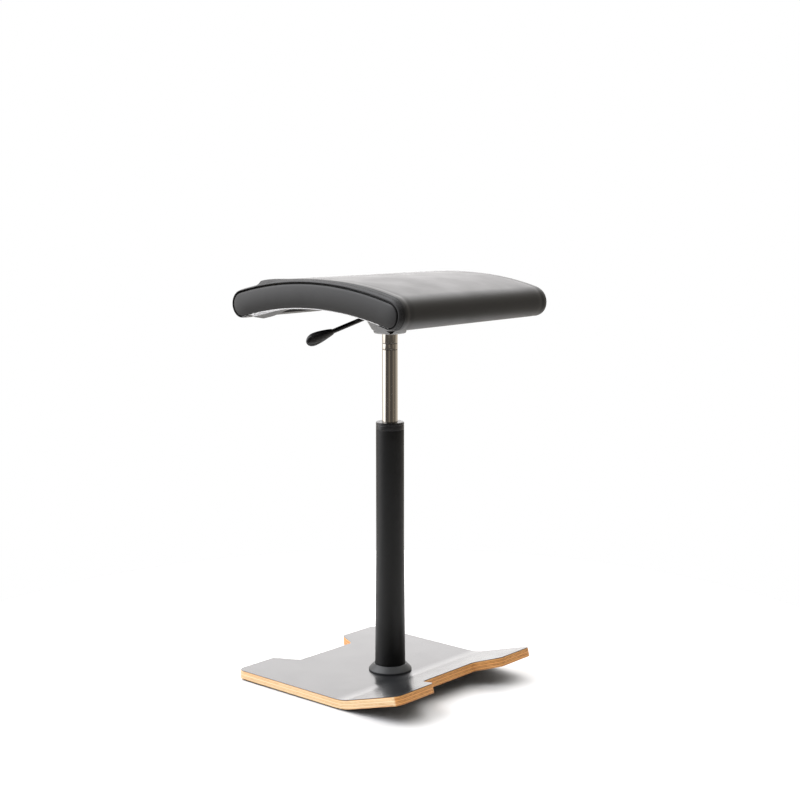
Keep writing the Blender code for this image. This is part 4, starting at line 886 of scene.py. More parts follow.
class STOOL_OT_gas_lift(bpy.types.Operator):
    """Build the polished cylinder, and finish the parts of the gas spring and its bearing"""

    bl_idname = "stool.gas_lift"
    bl_label = "Gas lift"

    def execute(self, context):
        lift = context.scene.stool.lift
        cylinder = turned(eased(self.profile(lift), CYLINDER_EDGE))
        steel = polished_steel(lift)
        tube = dress("cylinder_polished", cylinder, steel, "polished_steel", "seat", "gas_cylinder")
        tube.data.materials.append(burnt_oil())
        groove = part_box("gas_cylinder")[1].x - lift.ring_depth
        bracket_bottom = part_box("seat_bracket")[0].z
        for face in tube.data.polygons:
            middle = Vector(face.center)
            if abs(middle.xy.length - groove) < GROOVE_TOLERANCE and middle.z < bracket_bottom:
                face.material_index = 1
        bearing = machined_metal("ground_bearing_steel", "#C9CACC", 0.18, 0.3)
        finish_nodes(bearing, "tube_end_plate", "lower_race", "upper_race", "retaining_clip", "piston_rod",
                     "piston_nut")
        finish_nodes(machined_metal("turned_aluminium", "#D6D7D9", 0.25, 0.4), "piston")
        finish_nodes(machined_metal("turned_brass", "#D9BC7E", 0.22, 0.36), "valve_body")
        finish_nodes(machined_metal("drawn_pin_steel", "#BFC0C2", 0.2, 0.34), "release_pin")
        finish_nodes(moulded_plastic("natural_nylon_moulded", linear("#C4B999"), 0.4, 0.5), "ball_cage")
        finish_nodes(moulded_plastic("guide_nylon_moulded", linear("#303030"), 0.4, 0.5), "rod_guide")
        finish_nodes(moulded_rubber(), "buffer_ring", "piston_seal")
        return {"FINISHED"}

    def profile(self, lift):
        low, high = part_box("gas_cylinder")
        outer = high.x
        bracket_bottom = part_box("seat_bracket")[0].z
        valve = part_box("valve_body")[1].x + SEAT_GAP
        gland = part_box("rod_guide")
        outline = [(outer - lift.taper_drop / 2, high.z), (outer, high.z - lift.taper)]
        for drop in (lift.first_ring, lift.second_ring):
            ring_top = bracket_bottom - drop
            ring_bottom = ring_top - lift.ring_width
            inner = outer - lift.ring_depth
            outline += [(outer, ring_top), (inner, ring_top), (inner, ring_bottom), (outer, ring_bottom)]
        lip_top = gland[0].z - SEAT_GAP
        mouth = MOUTH_SHARE * outer
        return outline + [(outer, low.z), (mouth, low.z), (mouth, lip_top), (valve, lip_top), (valve, high.z)]


# Lever

NECK_CHAMFER = 0.8 * MM

# Places along the grip, as shares of its length: fullest, start of the round tip, and the dish
GRIP_FULL = 0.75
TIP_START = 0.68
DISH_START = 0.3
DISH_RISE = 0.3
DISH_FALL = 0.12

# The tip is a little blunter than a half circle, and its last ring is left just open
TIP_POWER = 2.2
TIP_LEAST = 0.0004

# Where a dish starts across the grip and how soon it is whole, as shares of the half width
DISH_SIDE = 0.55
DISH_SIDE_RISE = 0.25


def lever_pivot():
    """Place that the lever turns about."""
    return next(joint["pos_m"] for joint in frame["joints"] if joint["name"] == "lever_pull")


class STOOL_OT_lever(bpy.types.Operator):
    """Build the drop-shaped grip of the release lever, and finish its rod and pivot"""

    bl_idname = "stool.lever"
    bl_label = "Release lever"

    def execute(self, context):
        lever = context.scene.stool.lever
        pivot = lever_pivot()
        place = Matrix.Translation(pivot) @ Matrix.Rotation(-lever.slope, 4, "Y")
        tip = (lever.reach + pivot[0]) / math.cos(lever.slope)
        plastic = moulded_plastic("grip_plastic_moulded", lever.plastic, 0.36, 0.44)
        shape = self.grip(lever, tip)
        bmesh.ops.transform(shape, matrix=place, verts=shape.verts)
        dress("grip_moulded", shape, plastic, "black_nylon", "lever", "lever_grip")
        finish_nodes(black_paint(lever), "lever_rod")
        finish_nodes(machined_metal("pivot_steel_drawn", "#BFC0C2", 0.22, 0.36), "lever_pin")
        return {"FINISHED"}

    def grip(self, lever, tip):
        """A round neck that swells into a flat paddle with a rounded tip and a shallow dish in each face."""
        start = tip - lever.grip
        bore = lever.rod / 2 + SEAT_GAP
        rings = [self.ring(start + lever.bore, bore, bore, 0), self.ring(start, bore, bore, 0)]
        neck = lever.neck / 2 - NECK_CHAMFER
        rings.append(self.ring(start, neck, neck, 0))
        for i in range(GRIP_STEPS + 1):
            share = math.sin(math.pi / 2 * i / GRIP_STEPS)
            full = math.sin(math.pi / 2 * min(share / GRIP_FULL, 1))
            into_tip = max(share - TIP_START, 0) / (1 - TIP_START)
            close = math.sqrt(max(1 - into_tip ** TIP_POWER, TIP_LEAST))
            high = (lever.neck + full * (lever.high - lever.neck)) / 2 * close
            wide = (lever.neck + full * (lever.wide - lever.neck)) / 2 * close
            dish = lever.dish * smooth_step((share - DISH_START) / DISH_RISE)
            dish *= smooth_step((1 - share) / DISH_FALL)
            along = start + lever.grip * share + NECK_CHAMFER * (1 - share)
            rings.append(self.ring(along, wide, high, dish))
        shape, grid = skin(rings)
        shape.faces.new(grid[0])
        shape.faces.new(grid[-1])
        return shape

    def ring(self, along, wide, high, dish):
        points = []
        for k in range(GRIP_SIDES):
            turn = math.tau * k / GRIP_SIDES
            side = math.cos(turn)
            hollow = dish * smooth_step((abs(side) - DISH_SIDE) / DISH_SIDE_RISE) * math.copysign(1, side)
            points.append((-along, wide * side - hollow, high * math.sin(turn)))
        return points


# Saddle

# How closely the mesh lines crowd towards the seams
SEAM_CROWDING = 1.15
SPAN_CROWDING = 1.5

# How late the crown and the rows fade on the way round a nose
NOSE_FADE = 3

# Shares of the crown's rise within the stitched band and over the padded roll
BAND_SHARE = 0.55
ROLL_SHARE = 0.45

# Place and width of the hollow behind the roll, in widths of the roll
VALLEY_PLACE = 1.4
VALLEY_WIDTH = 0.25

# Leather: width of the dip at a row, slow waves, thickness at the edge, and rubbed edge
ROW_WIDTH = 0.9 * MM
WAVE_LENGTH = 70 * MM
WAVE_FADE = 30 * MM
EDGE_THICKNESS = 0.35
RUBBED_WIDTH = 2 * MM

# Loose fold beside the right seam. Its places are measured forward of the middle and inward from the seam
PUCKER_REAR = -136 * MM
PUCKER_REAR_RISE = 9 * MM
PUCKER_FRONT = -50 * MM
PUCKER_FRONT_RISE = 70 * MM
PUCKER_SEAM = 2 * MM
PUCKER_SEAM_RISE = 7 * MM
PUCKER_INNER = 38 * MM
PUCKER_INNER_RISE = 25 * MM

# Leather that hangs loose under the right side, at places measured forward of the middle
DROOP_FRONT = -70 * MM
DROOP_FRONT_RISE = 60 * MM
DROOP_REAR = -170 * MM
DROOP_REAR_RISE = 25 * MM

# Side panels: turn of the rounded edge, depth of the seam's inner wall, form of the drawn-in lower edge,
# and gathers at the rear, at places measured forward of the middle
PANEL_EDGE_TURN = math.radians(78)
SEAM_WALL = 1.5 * MM
LOWER_START = 0.55
LOWER_RANGE = 0.35
LOWER_ROUND = 0.6
LOWER_SHARPNESS = 8
GATHER_START = -105 * MM
GATHER_RISE = 35 * MM
GATHER_SHARPNESS = 3
GATHER_FADE = 4

# Share of a panel's lower edge that carries the painted highlight, share of the droop at the end of that
# band,
# # and gap between the folded strip and the lining
HIGHLIGHT_BAND_SHARE = 0.75
HIGHLIGHT_BAND_HANG = 0.4
STRIP_CLEARANCE = 0.05 * MM

# Stitches end where the leather is folded under. Each ring of a stitch has a place along it, a
# thickness and a rise, as shares of the stitch and of its radius
SEWN_LEAST = 0.35
STITCH_RINGS = ((-0.46, 0.55, -0.3), (-0.3, 0.95, 0.35), (0.3, 0.95, 0.35), (0.46, 0.55, -0.3))

Stop = namedtuple("Stop", "forward height out_forward out_height crown sewn")


class SaddleEnd:
    """One end of the side outline: a round nose tangent to the arch above and to its own arc below."""

    def __init__(self, saddle, side, reach, nose):
        self.saddle = saddle
        self.side = side
        self.nose = nose
        self.forward = reach - nose
        self.height = math.sqrt((saddle.top_radius - nose) ** 2 - self.forward ** 2) - saddle.top_radius
        rise = self.height + saddle.pad
        self.under_radius = (self.forward ** 2 + rise ** 2 - nose ** 2) / (2 * (nose - rise))
        self.top_turn = math.asin(self.forward / (saddle.top_radius - nose))
        self.under_turn = math.asin(self.forward / (self.under_radius + nose))
        self.nose_end = math.pi + self.under_turn
        self.tip = (self.top_turn + self.nose_end) / 2
        self.under_length = self.under_radius * self.under_turn

    def nose_stop(self, turn, crown):
        """Place on the nose, turned from straight up round to its underside."""
        share = (turn - self.top_turn) / (self.nose_end - self.top_turn)
        fade = 1 - share ** NOSE_FADE
        out_forward, out_height = self.side * math.sin(turn), math.cos(turn)
        forward = self.side * self.forward + self.nose * out_forward
        height = self.height + self.nose * out_height
        return Stop(forward, height, out_forward, out_height, crown * fade, fade)

    def under_stop(self, along):
        """Place under the saddle, at a length along the lower arc from the middle."""
        turn = along / self.under_radius
        out_forward, out_height = -self.side * math.sin(turn), -math.cos(turn)
        height = -self.under_radius * out_height - self.saddle.pad - self.under_radius
        return Stop(-self.under_radius * out_forward, height, out_forward, out_height, 0, 0)


class SaddleForm:
    """Side outline and crown of the saddle, measured from the side seams' highest point."""

    def __init__(self, saddle):
        self.saddle = saddle
        self.front = SaddleEnd(saddle, 1, saddle.front_reach, saddle.front_nose)
        self.rear = SaddleEnd(saddle, -1, saddle.rear_reach, saddle.rear_nose)
        self.half_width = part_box("seat_cover")[1].x
        self.edge = self.half_width + saddle.overhang
        self.panel_inner, self.panel_outer = (corner.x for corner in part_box("side_panel_left"))
        self.rows = (saddle.first_row, saddle.first_row + saddle.row_spacing)

    def point(self, stop, across, out):
        """A place on the outline, moved across the seat and out of its face."""
        forward = stop.forward + stop.out_forward * out
        return Vector((across, -forward, self.saddle.height + stop.height + stop.out_height * out))

    def crown_share(self, forward):
        """Share of the crown along the seat: flatter at the rear and fuller at the front."""
        saddle = self.saddle
        rise = smooth_step((forward + saddle.crown_start) / (saddle.crown_start - saddle.crown_end))
        fuller = smooth_step(forward / self.front.forward)
        return saddle.rear_crown + (1 - saddle.rear_crown) * rise + (saddle.front_crown - 1) * fuller

    def top_stops(self):
        stops = []
        radius = self.saddle.top_radius
        for turn in spread(-self.rear.top_turn, self.front.top_turn, TOP_STEPS):
            forward = radius * math.sin(turn)
            height = radius * math.cos(turn) - radius
            crown = self.crown_share(forward)
            stops.append(Stop(forward, height, math.sin(turn), math.cos(turn), crown, 1))
        return stops

    def over_the_top(self):
        """Places from under the rear nose, over the top, to under the front nose."""
        rear_turns = spread(self.rear.nose_end, self.rear.top_turn, NOSE_STEPS)[:-1]
        front_turns = spread(self.front.top_turn, self.front.nose_end, NOSE_STEPS)[1:]
        rear = [self.rear.nose_stop(turn, self.saddle.rear_crown) for turn in rear_turns]
        front = [self.front.nose_stop(turn, self.saddle.front_crown) for turn in front_turns]
        return rear + self.top_stops() + front

    def lip(self, end):
        """Places on the leather folded under one end, from the nose inwards."""
        lengths = spread(end.under_length, end.under_length - self.saddle.lip, LIP_STEPS)
        return [end.under_stop(along) for along in lengths[1:]]

    def under(self, rear_length, front_length, steps):
        """Places under the saddle from rear to front."""
        rear = [self.rear.under_stop(along) for along in spread(rear_length, 0, steps // 2)]
        front = [self.front.under_stop(along) for along in spread(0, front_length, steps // 2)]
        return rear + front[1:]

    def stations(self, edge):
        """Places across the seat, close together near the seams and their stitched rows."""
        zone = self.rows[-1] + self.saddle.row_spacing
        inward = [zone * (i / SEAM_STEPS) ** SEAM_CROWDING for i in range(SEAM_STEPS + 1)]
        inward += [zone + (edge - zone) * (i / SPAN_STEPS) ** SPAN_CROWDING for i in range(1, SPAN_STEPS + 1)]
        left = [edge - step for step in inward]
        return left + [-across for across in reversed(left[:-1])]

    def leather_out(self, stop, across):
        """Height of the leather over the side outline, with its rolls, rows and slow waves."""
        saddle = self.saddle
        inward = self.edge - abs(across)
        up_the_band = 1 - min(inward / (self.rows[-1] + MM), 1)
        up_the_roll = math.sin(math.pi / 2 * min(inward / saddle.roll, 1))
        rise = BAND_SHARE * math.sqrt(1 - up_the_band ** 2) + ROLL_SHARE * up_the_roll
        crown = (saddle.crown - saddle.rim) * rise
        from_valley = (inward - VALLEY_PLACE * saddle.roll) / (VALLEY_WIDTH * saddle.roll)
        crown -= saddle.valley * math.exp(-from_valley ** 2)
        dip = -saddle.rim
        for row, depth in zip(self.rows, (saddle.row_dip, saddle.outer_dip)):
            dip += depth * math.exp(-((inward - row) / ROW_WIDTH) ** 2)
        wave = noise.noise(Vector((across, stop.forward, stop.height)) / WAVE_LENGTH)
        lift = -saddle.lean * across / self.edge
        lift += saddle.unevenness * wave * smooth_step((inward - self.rows[-1]) / WAVE_FADE)
        if across < 0:
            lift += self.pucker(stop.forward, inward)
        return crown * stop.crown + (lift - dip) * stop.sewn

    def pucker(self, forward, inward):
        """Height of the loose fold beside the right seam: a steep rear end and a long slope forward."""
        lengthwise = smooth_step((forward - PUCKER_REAR) / PUCKER_REAR_RISE)
        lengthwise *= smooth_step((PUCKER_FRONT - forward) / PUCKER_FRONT_RISE)
        crosswise = smooth_step((inward - PUCKER_SEAM) / PUCKER_SEAM_RISE)
        crosswise *= smooth_step((PUCKER_INNER - inward) / PUCKER_INNER_RISE)
        return self.saddle.pucker * lengthwise * crosswise


class STOOL_OT_saddle_top(bpy.types.Operator):
    """Build the leather that runs over the saddle and under its two ends, and the foam inside"""

    bl_idname = "stool.saddle_top"
    bl_label = "Saddle top"

    def execute(self, context):
        saddle = context.scene.stool.saddle
        form = SaddleForm(saddle)
        stops = form.lip(form.rear)[::-1] + form.over_the_top() + form.lip(form.front)
        rings = []
        for across in form.stations(form.edge):
            outs = [form.leather_out(stop, across) for stop in stops]
            whole = smooth_step((form.edge - abs(across)) / saddle.overhang)
            thick = saddle.leather * (EDGE_THICKNESS + (1 - EDGE_THICKNESS) * whole)
            outer = [form.point(stop, across, out) for stop, out in zip(stops, outs)]
            inner = [form.point(stop, across, out - thick) for stop, out in zip(stops, outs)]
            rings.append(outer + inner[::-1])
        leather = grain_leather(saddle)
        top = dress("leather_top", capped(rings), leather, "black_leather", "seat", "seat_cover")
        wear = []
        for across in form.stations(form.edge):
            rubbed = math.exp(-((form.edge - abs(across) - saddle.first_row / 2) / RUBBED_WIDTH) ** 2)
            wear += [rubbed] * (2 * len(stops))
        top.data.attributes.new("wear", "FLOAT", "POINT").data.foreach_set("value", wear)
        self.foam(form)
        return {"FINISHED"}

    def foam(self, form):
        saddle = form.saddle
        upper = form.over_the_top()
        rear_length = form.rear.under_length - SEAT_GAP
        front_length = form.front.under_length - SEAT_GAP
        lower = form.under(rear_length, front_length, len(upper) - 1)
        bottom = saddle.leather + saddle.shell + 2 * SEAT_GAP
        rings = []
        for across in form.stations(form.half_width - saddle.foam_margin):
            outs = [form.leather_out(stop, across) - saddle.leather - saddle.foam_gap for stop in upper]
            ring = [form.point(stop, across, out) for stop, out in zip(upper, outs)]
            rings.append(ring + [form.point(stop, across, -bottom) for stop in reversed(lower)])
        dress("foam_pad", capped(rings), cut_foam(), "seat_foam", "seat", "seat_foam")


class STOOL_OT_side_panels(bpy.types.Operator):
    """Build the two leather panels sewn into the arched sides"""

    bl_idname = "stool.side_panels"
    bl_label = "Side panels"

    def execute(self, context):
        saddle = context.scene.stool.saddle
        form = SaddleForm(saddle)
        leather = bpy.data.materials["full_grain_leather_drum_dyed"]
        painted_edge_highlight = pale_edge_highlight_material(saddle)
        for side, name in ((1, "left"), (-1, "right")):
            shape, loose = self.panel(form, side)
            panel = dress(f"leather_panel_{name}", shape, leather, "black_leather", "seat",
                          f"side_panel_{name}")
            swell(panel, loose, saddle.panel_swell)
            self.paint_edge_highlight(form, panel, painted_edge_highlight)
        return {"FINISHED"}

    def paint_edge_highlight(self, form, panel, painted_edge_highlight):
        """Give a panel's lower edge and the start of its folded strip a painted highlight in pale grey."""
        saddle = form.saddle
        panel.data.materials.append(painted_edge_highlight)
        inner = form.panel_inner - saddle.highlight_band_width
        flat_face = form.panel_outer - saddle.panel_swell
        outer = (1 - HIGHLIGHT_BAND_SHARE) * form.panel_inner + HIGHLIGHT_BAND_SHARE * flat_face
        # Faces that look down within this band are painted pale for the floor's reflection: a painted
        # highlight
        for face in panel.data.polygons:
            in_width = inner < abs(face.center.x) < outer
            in_length = -form.front.forward < face.center.y < form.rear.forward
            if face.normal.z < 0 and in_width and in_length:
                face.material_index = 1

    def outline(self, form):
        """Places round the panel, from the rear tip over the top to the front tip and back below."""
        half = NOSE_STEPS // 2
        rear, front = form.rear, form.front
        upper = [rear.nose_stop(turn, 0) for turn in spread(rear.tip, rear.top_turn, half)[:-1]]
        upper += form.top_stops()
        upper += [front.nose_stop(turn, 0) for turn in spread(front.top_turn, front.tip, half)[1:]]
        lower = [rear.nose_stop(turn, 0) for turn in spread(rear.tip, rear.nose_end, half)[:-1]]
        lower += form.under(rear.under_length, front.under_length, TOP_STEPS)
        lower += [front.nose_stop(turn, 0) for turn in spread(front.nose_end, front.tip, half)[1:]]
        return upper, lower

    def panel(self, form, side):
        """A panel that rolls out of the seam, with a level face, a pulled-in lower edge and a flat back.

        The points of its face come with it, because they are still to be swollen.
        """
        saddle = form.saddle
        upper, lower = self.outline(form)
        stops = upper + lower[-2:0:-1]
        rise = form.panel_outer - form.panel_inner - saddle.panel_swell
        rings = []
        for turn in spread(0, PANEL_EDGE_TURN, PANEL_EDGE_STEPS):
            out = rise * math.sin(turn)
            across = side * (form.panel_inner + out)
            insets = [self.inset(form, side, stop, turn, out) for stop in stops]
            rings.append([form.point(stop, across, -inset) for stop, inset in zip(stops, insets)])
        shape, grid = skin(rings)
        half = len(upper) - 1
        self.fill(shape, grid[0], half)
        loose = self.fill(shape, grid[-1], half)
        self.fold_under(shape, form, side)
        shape.verts.index_update()
        return shape, {point.index for point in loose}

    def fold_under(self, shape, form, side):
        """Fold the panel's leather under the shell. It hangs loose at the rear of the right side."""
        saddle = form.saddle
        margin = saddle.lip + MM
        highlight_band_end = form.panel_inner - saddle.highlight_band_width
        inner = form.panel_inner - saddle.side_lip
        back = saddle.lining - saddle.leather + STRIP_CLEARANCE
        strip = []
        for stop in form.under(form.rear.under_length - margin, form.front.under_length - margin, TOP_STEPS):
            loose = smooth_step((DROOP_FRONT - stop.forward) / DROOP_FRONT_RISE)
            loose *= smooth_step((stop.forward - DROOP_REAR) / DROOP_REAR_RISE)
            hang = saddle.droop * loose if side < 0 else 0
            profile = ((form.panel_inner, 0), (highlight_band_end, HIGHLIGHT_BAND_HANG * hang), (inner, hang))
            corners = profile + tuple((across, out + back) for across, out in reversed(profile))
            strip.append([shape.verts.new(form.point(stop, side * across, out)) for across, out in corners])
        for near, far in zip(strip, strip[1:]):
            join(shape, near, far)
        shape.faces.new(strip[0])
        shape.faces.new(strip[-1])

    def inset(self, form, side, stop, turn, out):
        """How far a panel lies inside its outline: a round edge at the seam and a drawn-in one below."""
        saddle = form.saddle
        rounded = saddle.panel_drop + saddle.panel_round * (1 - math.cos(turn))
        sewn_up = saddle.panel_drop + saddle.rim - side * saddle.lean - SEAM_WALL
        rounded -= sewn_up * stop.sewn * math.exp(-(out / saddle.seam_width) ** 2)
        out_share = turn / PANEL_EDGE_TURN
        below = smooth_step((-stop.out_height - LOWER_START) / LOWER_RANGE)
        rolled = saddle.panel_roll * out_share
        rolled += saddle.panel_round * LOWER_ROUND * out_share ** LOWER_SHARPNESS
        near_end = smooth_step((GATHER_START - stop.forward) / GATHER_RISE)
        fold = math.sin(math.tau * stop.forward / saddle.gather_pitch) ** GATHER_SHARPNESS
        rolled += saddle.gather * fold * near_end * (1 - out_share ** GATHER_FADE)
        return rounded + (rolled - rounded) * below

    def fill(self, shape, ring, half):
        """Fill a ring between its two tips with level ribs, and give the points between its edges."""
        ribs = []
        inside = []
        for i in range(1, half):
            top, bottom = ring[i], ring[len(ring) - i]
            shares = spread(0, 1, PANEL_RIB_STEPS)[1:-1]
            inner = [shape.verts.new(top.co.lerp(bottom.co, share)) for share in shares]
            ribs.append([top, *inner, bottom])
            inside += inner
        for near, far in zip(ribs, ribs[1:]):
            for k in range(PANEL_RIB_STEPS):
                shape.faces.new((near[k], near[k + 1], far[k + 1], far[k]))
        for tip, rib in ((ring[0], ribs[0]), (ring[half], ribs[-1])):
            for k in range(PANEL_RIB_STEPS):
                shape.faces.new((tip, rib[k], rib[k + 1]))
        return inside


class STOOL_OT_stitching(bpy.types.Operator):
    """Sew two rows of stitches beside each side seam"""

    bl_idname = "stool.stitching"
    bl_label = "Stitching"

    def execute(self, context):
        saddle = context.scene.stool.saddle
        form = SaddleForm(saddle)
        thread = spun_thread(saddle)
        for side, name in ((1, "left"), (-1, "right")):
            shape = bmesh.new()
            for row in form.rows:
                self.sew(shape, form, side * (form.edge - row))
            dress(f"stitches_{name}", shape, thread, "black_leather", "seat", sharp=80)
        return {"FINISHED"}

    def sew(self, shape, form, across):
        """One row of stitches, laid along the leather."""
        saddle = form.saddle
        stops = [stop for stop in form.over_the_top() if stop.sewn > SEWN_LEAST]
        path = [form.point(stop, across, form.leather_out(stop, across)) for stop in stops]
        lifted = [form.point(stop, across, form.leather_out(stop, across) + MM) for stop in stops]
        walked = 0
        wanted = saddle.stitch
        for i in range(len(path) - 1):
            step = path[i + 1] - path[i]
            while wanted < walked + step.length:
                share = (wanted - walked) / step.length
                middle = path[i].lerp(path[i + 1], share)
                outward = (lifted[i].lerp(lifted[i + 1], share) - middle).normalized()
                self.stitch(shape, saddle, middle, step.normalized(), outward)
                wanted += saddle.stitch + saddle.stitch_gap
            walked += step.length

    def stitch(self, shape, saddle, middle, along, outward):
        """A short plump thread whose ends dive into the leather."""
        radius = saddle.thread / 2
        across = along.cross(outward)
        rings = []
        for share, size, lift in STITCH_RINGS:
            centre = middle + along * saddle.stitch * share + outward * radius * lift
            ring = []
            for k in range(STITCH_SIDES):
                turn = math.tau * k / STITCH_SIDES
                spoke = across * math.cos(turn) + outward * math.sin(turn)
                ring.append(shape.verts.new(centre + radius * size * spoke))
            rings.append(ring)
        for near, far in zip(rings, rings[1:]):
            join(shape, near, far)
        shape.faces.new(rings[0])
        shape.faces.new(rings[-1])


class STOOL_OT_underside(bpy.types.Operator):
    """Build the lining under the saddle, and finish the shell and its fasteners"""

    bl_idname = "stool.underside"
    bl_label = "Underside"

    def execute(self, context):
        saddle = context.scene.stool.saddle
        form = SaddleForm(saddle)
        margin = saddle.lip + MM
        stops = form.under(form.rear.under_length - margin, form.front.under_length - margin, TOP_STEPS)
        rings = []
        for across in (-form.half_width, form.half_width):
            lower = [form.point(stop, across, saddle.lining - saddle.leather) for stop in stops]
            upper = [form.point(stop, across, -saddle.leather) for stop in stops]
            rings.append(lower + upper[::-1])
        cloth = felted_lining()
        lining = dress("lining_cloth", capped(rings), cloth, "black_lining", "seat", "underside_cover")
        finish_nodes(birch_plywood(context.scene.stool.board), "seat_shell")
        zinc = bpy.data.materials["zinc_plated_steel"]
        finish_nodes(zinc, *[f"tee_nut_{i}" for i in range(1, 5)], *[f"seat_bolt_{i}" for i in range(1, 5)])
        return {"FINISHED"}


# Bracket

# Pointed holes in the corners of the bowl
RELIEF_HEIGHT = 6 * MM
RELIEF_POINT = 0.8 * MM
RELIEF_MOUTH = 8 * MM

# How far the inner bend lies outside the outer one, as a share of the sheet's thickness
INNER_BEND_SHIFT = 0.2
PLATE_THICKNESS = 3 * MM


class STOOL_OT_bracket(bpy.types.Operator):
    """Build the pressed bowl under the seat, and finish the hub and the plate above it"""

    bl_idname = "stool.bracket"
    bl_label = "Seat bracket"

    def execute(self, context):
        bracket = context.scene.stool.bracket
        lever = context.scene.stool.lever
        self.form = SaddleForm(context.scene.stool.saddle)
        grey = grey_coat(bracket)
        bowl = self.bowl(bracket)
        pivot = lever_pivot()
        way = Matrix.Translation(pivot) @ Matrix.Rotation(-lever.slope - math.pi / 2, 4, "Y")
        window = disc(bracket.window / 2, 0, bracket.depth)
        bmesh.ops.transform(window, matrix=way, verts=window.verts)
        cut = carved(carved(bowl, window), self.corner_reliefs(bracket))
        dress("bowl_pressed", cut, grey, "grey_pressed_steel", "seat", "seat_bracket")
        finish_nodes(grey, "seat_plate")
        finish_nodes(cast_iron(), "seat_hub")
        return {"FINISHED"}

    def corner_reliefs(self, bracket):
        """Pointed holes at the four corners, which keep the sheet from tearing where its flanks meet."""
        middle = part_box("seat_bracket")[0].z + MM + RELIEF_HEIGHT / 2
        reach = bracket.floor_half * 2 ** (0.5 - 1 / bracket.squareness)
        shape = bmesh.new()
        for k in range(4):
            corner = Matrix.Rotation(math.pi / 2 * (k + 0.5), 4, "Z")
            place = corner @ Matrix.Translation((reach, 0, middle))
            bmesh.ops.create_cone(shape, cap_ends=True, segments=RELIEF_SIDES, radius1=RELIEF_POINT,
                                  radius2=RELIEF_MOUTH, depth=RELIEF_HEIGHT, matrix=place)
        return shape

    def bowl(self, bracket):
        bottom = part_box("seat_bracket")[0].z
        bore = bracket.hub / 2 + SEAT_GAP
        rings = [self.round_ring(bore, bottom)]
        rings += self.flank(bracket, bracket.floor_half, bottom, 0)
        rings += self.flank(bracket, bracket.floor_half, bottom, bracket.wall)[::-1]
        rings.append(self.round_ring(bore, bottom + bracket.wall))
        return skin(rings, loop=True)[0]

    def flank(self, bracket, floor_half, bottom, inset):
        """Rings from the floor round the bend and up to the rim, set in from the outer face."""
        lean = math.atan(bracket.flare)
        bend = bracket.bend + inset
        middle = floor_half - bend * math.tan((math.pi / 2 - lean) / 2) + inset * INNER_BEND_SHIFT
        rings = []
        for turn in spread(0, math.pi / 2 - lean, BOWL_BEND_STEPS):
            rise = bend * (1 - math.cos(turn)) + inset
            half = middle + bend * math.sin(turn) - inset * math.sin(turn)
            rings.append(self.square_ring(bracket, half, bottom + rise))
        rim = floor_half + bracket.depth * bracket.flare - inset
        rings.append(self.rim_ring(bracket, rim))
        return rings

    def square_ring(self, bracket, half, height):
        return [(x, y, height) for x, y in self.square(bracket, half)]

    def rim_ring(self, bracket, half):
        """Ring that follows the underside of the curved seat plate."""
        return [(x, y, self.plate_underside(y) - SEAT_GAP) for x, y in self.square(bracket, half)]

    def square(self, bracket, half):
        power = bracket.squareness
        places = []
        for k in range(BRACKET_SIDES):
            turn = math.tau * k / BRACKET_SIDES
            x, y = math.cos(turn), math.sin(turn)
            radius = half / (abs(x) ** power + abs(y) ** power) ** (1 / power)
            places.append((radius * x, radius * y))
        return places

    def round_ring(self, radius, height):
        turns = [math.tau * k / BRACKET_SIDES for k in range(BRACKET_SIDES)]
        return [(radius * math.cos(turn), radius * math.sin(turn), height) for turn in turns]

    def plate_underside(self, y):
        """Height of the curved plate's lower face."""
        saddle = self.form.saddle
        end = self.form.front if y < 0 else self.form.rear
        radius = end.under_radius - SEAT_GAP - PLATE_THICKNESS
        return saddle.height - saddle.pad - end.under_radius + math.sqrt(radius ** 2 - y ** 2)


# Stage

# A light in one direction, which is whole within its inner angle and gone at its outer angle, in degrees
SoftLight = namedtuple("SoftLight", "heading rise outer inner strength tint")

SENSOR_WIDTH = 36


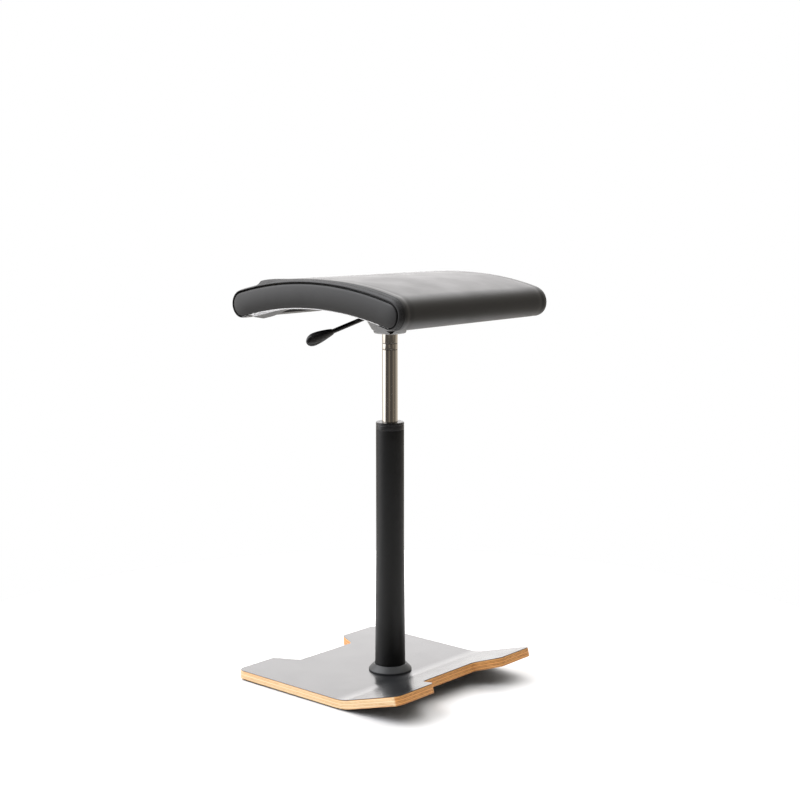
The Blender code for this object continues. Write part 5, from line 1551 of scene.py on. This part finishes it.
class STOOL_OT_stage(bpy.types.Operator):
    """Set the camera, the white floor and the soft studio light"""

    bl_idname = "stool.stage"
    bl_label = "Stage"

    def execute(self, context):
        stage = context.scene.stool.stage
        self.camera(context, stage)
        self.floor(stage)
        self.light(context, stage)
        context.scene.view_settings.view_transform = "Standard"
        return {"FINISHED"}

    def camera(self, context, stage):
        lens = bpy.data.cameras.new("camera")
        lens.sensor_width = SENSOR_WIDTH
        lens.lens = stage.lens
        camera = bpy.data.objects.new("camera", lens)
        context.scene.collection.objects.link(camera)
        x, y = math.cos(stage.turn), math.sin(stage.turn)
        camera.location = (-stage.distance * x, -stage.distance * y, stage.height)
        camera.rotation_euler = (math.pi / 2 - stage.pitch, 0, stage.turn - stage.aside - math.pi / 2)
        context.scene.camera = camera

    def floor(self, stage):
        shape = bmesh.new()
        bmesh.ops.create_circle(shape, cap_ends=True, segments=TURN_SIDES, radius=stage.floor_radius)
        floor = plain_object("floor", shape)
        floor.data.materials.append(matt_paper())

    def light(self, context, stage):
        """Soft lights by direction, over a dark room. The camera itself sees plain white."""
        world = bpy.data.worlds.new("studio")
        context.scene.world = world
        world.use_nodes = True
        tree = world.node_tree
        tree.nodes.clear()
        facing = add_node(tree, COORDS, {}).outputs["Generated"]
        total = Vector(linear("#FFF8F0")) * stage.room
        behind = math.degrees(stage.turn)
        lights = (
            SoftLight(behind, 34, 42, 25, stage.backdrop, "#FBFBFF"),
            SoftLight(behind, 0, 125, 20, stage.horizon, "#FFF6E8"),
            SoftLight(behind + 84, 12, 36, 20, stage.side_box, "#FBFBFF"),
            SoftLight(behind + 95, 42, 34, 14, stage.high_box, "#F8FAFF"),
            SoftLight(behind, 88, 55, 30, stage.top_box, "#FFFFFF"),
            SoftLight(behind + 170, 0, 14, 5, stage.windows, "#FFEBD2"),
            SoftLight(behind - 127, 0, 18, 6, stage.windows, "#FFEBD2"),
        )
        for light in lights:
            heading, rise = math.radians(light.heading), math.radians(light.rise)
            level = math.cos(rise)
            axis = (level * math.cos(heading), level * math.sin(heading), math.sin(rise))
            near = add_node(tree, "ShaderNodeVectorMath", {0: facing, 1: axis}, operation="DOT_PRODUCT")
            gone, whole = math.cos(math.radians(light.outer)), math.cos(math.radians(light.inner))
            glow = add_node(tree, RANGE, {
                "Value": near.outputs["Value"], "From Min": gone, "From Max": whole,
                "To Min": 0, "To Max": light.strength}, interpolation_type="SMOOTHSTEP")
            summed = add_node(tree, "ShaderNodeVectorMath", {
                0: glow.outputs["Result"], 1: linear(light.tint), 2: total}, operation="MULTIPLY_ADD")
            total = summed.outputs["Vector"]
        studio = add_node(tree, "ShaderNodeBackground", {"Color": total})
        plain = add_node(tree, "ShaderNodeBackground", {"Color": (1, 1, 1, 1)})
        path = add_node(tree, "ShaderNodeLightPath", {})
        seen = add_node(tree, "ShaderNodeMixShader", {
            0: path.outputs["Is Camera Ray"], 1: studio.outputs[0], 2: plain.outputs[0]})
        add_node(tree, "ShaderNodeOutputWorld", {"Surface": seen.outputs[0]})


# Add-on

BUILDERS = (STOOL_OT_foot_board, STOOL_OT_column, STOOL_OT_gas_lift, STOOL_OT_lever, STOOL_OT_bracket,
            STOOL_OT_saddle_top, STOOL_OT_side_panels, STOOL_OT_stitching, STOOL_OT_underside, STOOL_OT_stage)


class STOOL_PT_builder(bpy.types.Panel):
    """Lists the stool's builders in the sidebar"""

    bl_idname = "STOOL_PT_builder"
    bl_label = "Saddle stool"
    bl_space_type = "VIEW_3D"
    bl_region_type = "UI"
    bl_category = "Stool"

    def draw(self, context):
        for builder in BUILDERS:
            self.layout.operator(builder.bl_idname)


CLASSES = (FootBoardSettings, ColumnSettings, LiftSettings, LeverSettings, BracketSettings, SaddleSettings,
           StageSettings, StoolSettings, *BUILDERS, STOOL_PT_builder)


def register():
    for cls in CLASSES:
        bpy.utils.register_class(cls)
    bpy.types.Scene.stool = PointerProperty(type=StoolSettings)


def unregister():
    del bpy.types.Scene.stool
    for cls in reversed(CLASSES):
        bpy.utils.unregister_class(cls)


def main():
    register()
    bpy.ops.stool.foot_board()
    bpy.ops.stool.column()
    bpy.ops.stool.gas_lift()
    bpy.ops.stool.lever()
    bpy.ops.stool.bracket()
    bpy.ops.stool.saddle_top()
    bpy.ops.stool.side_panels()
    bpy.ops.stool.stitching()
    bpy.ops.stool.underside()
    bpy.ops.stool.stage()


if __name__ == "__main__":
    main()
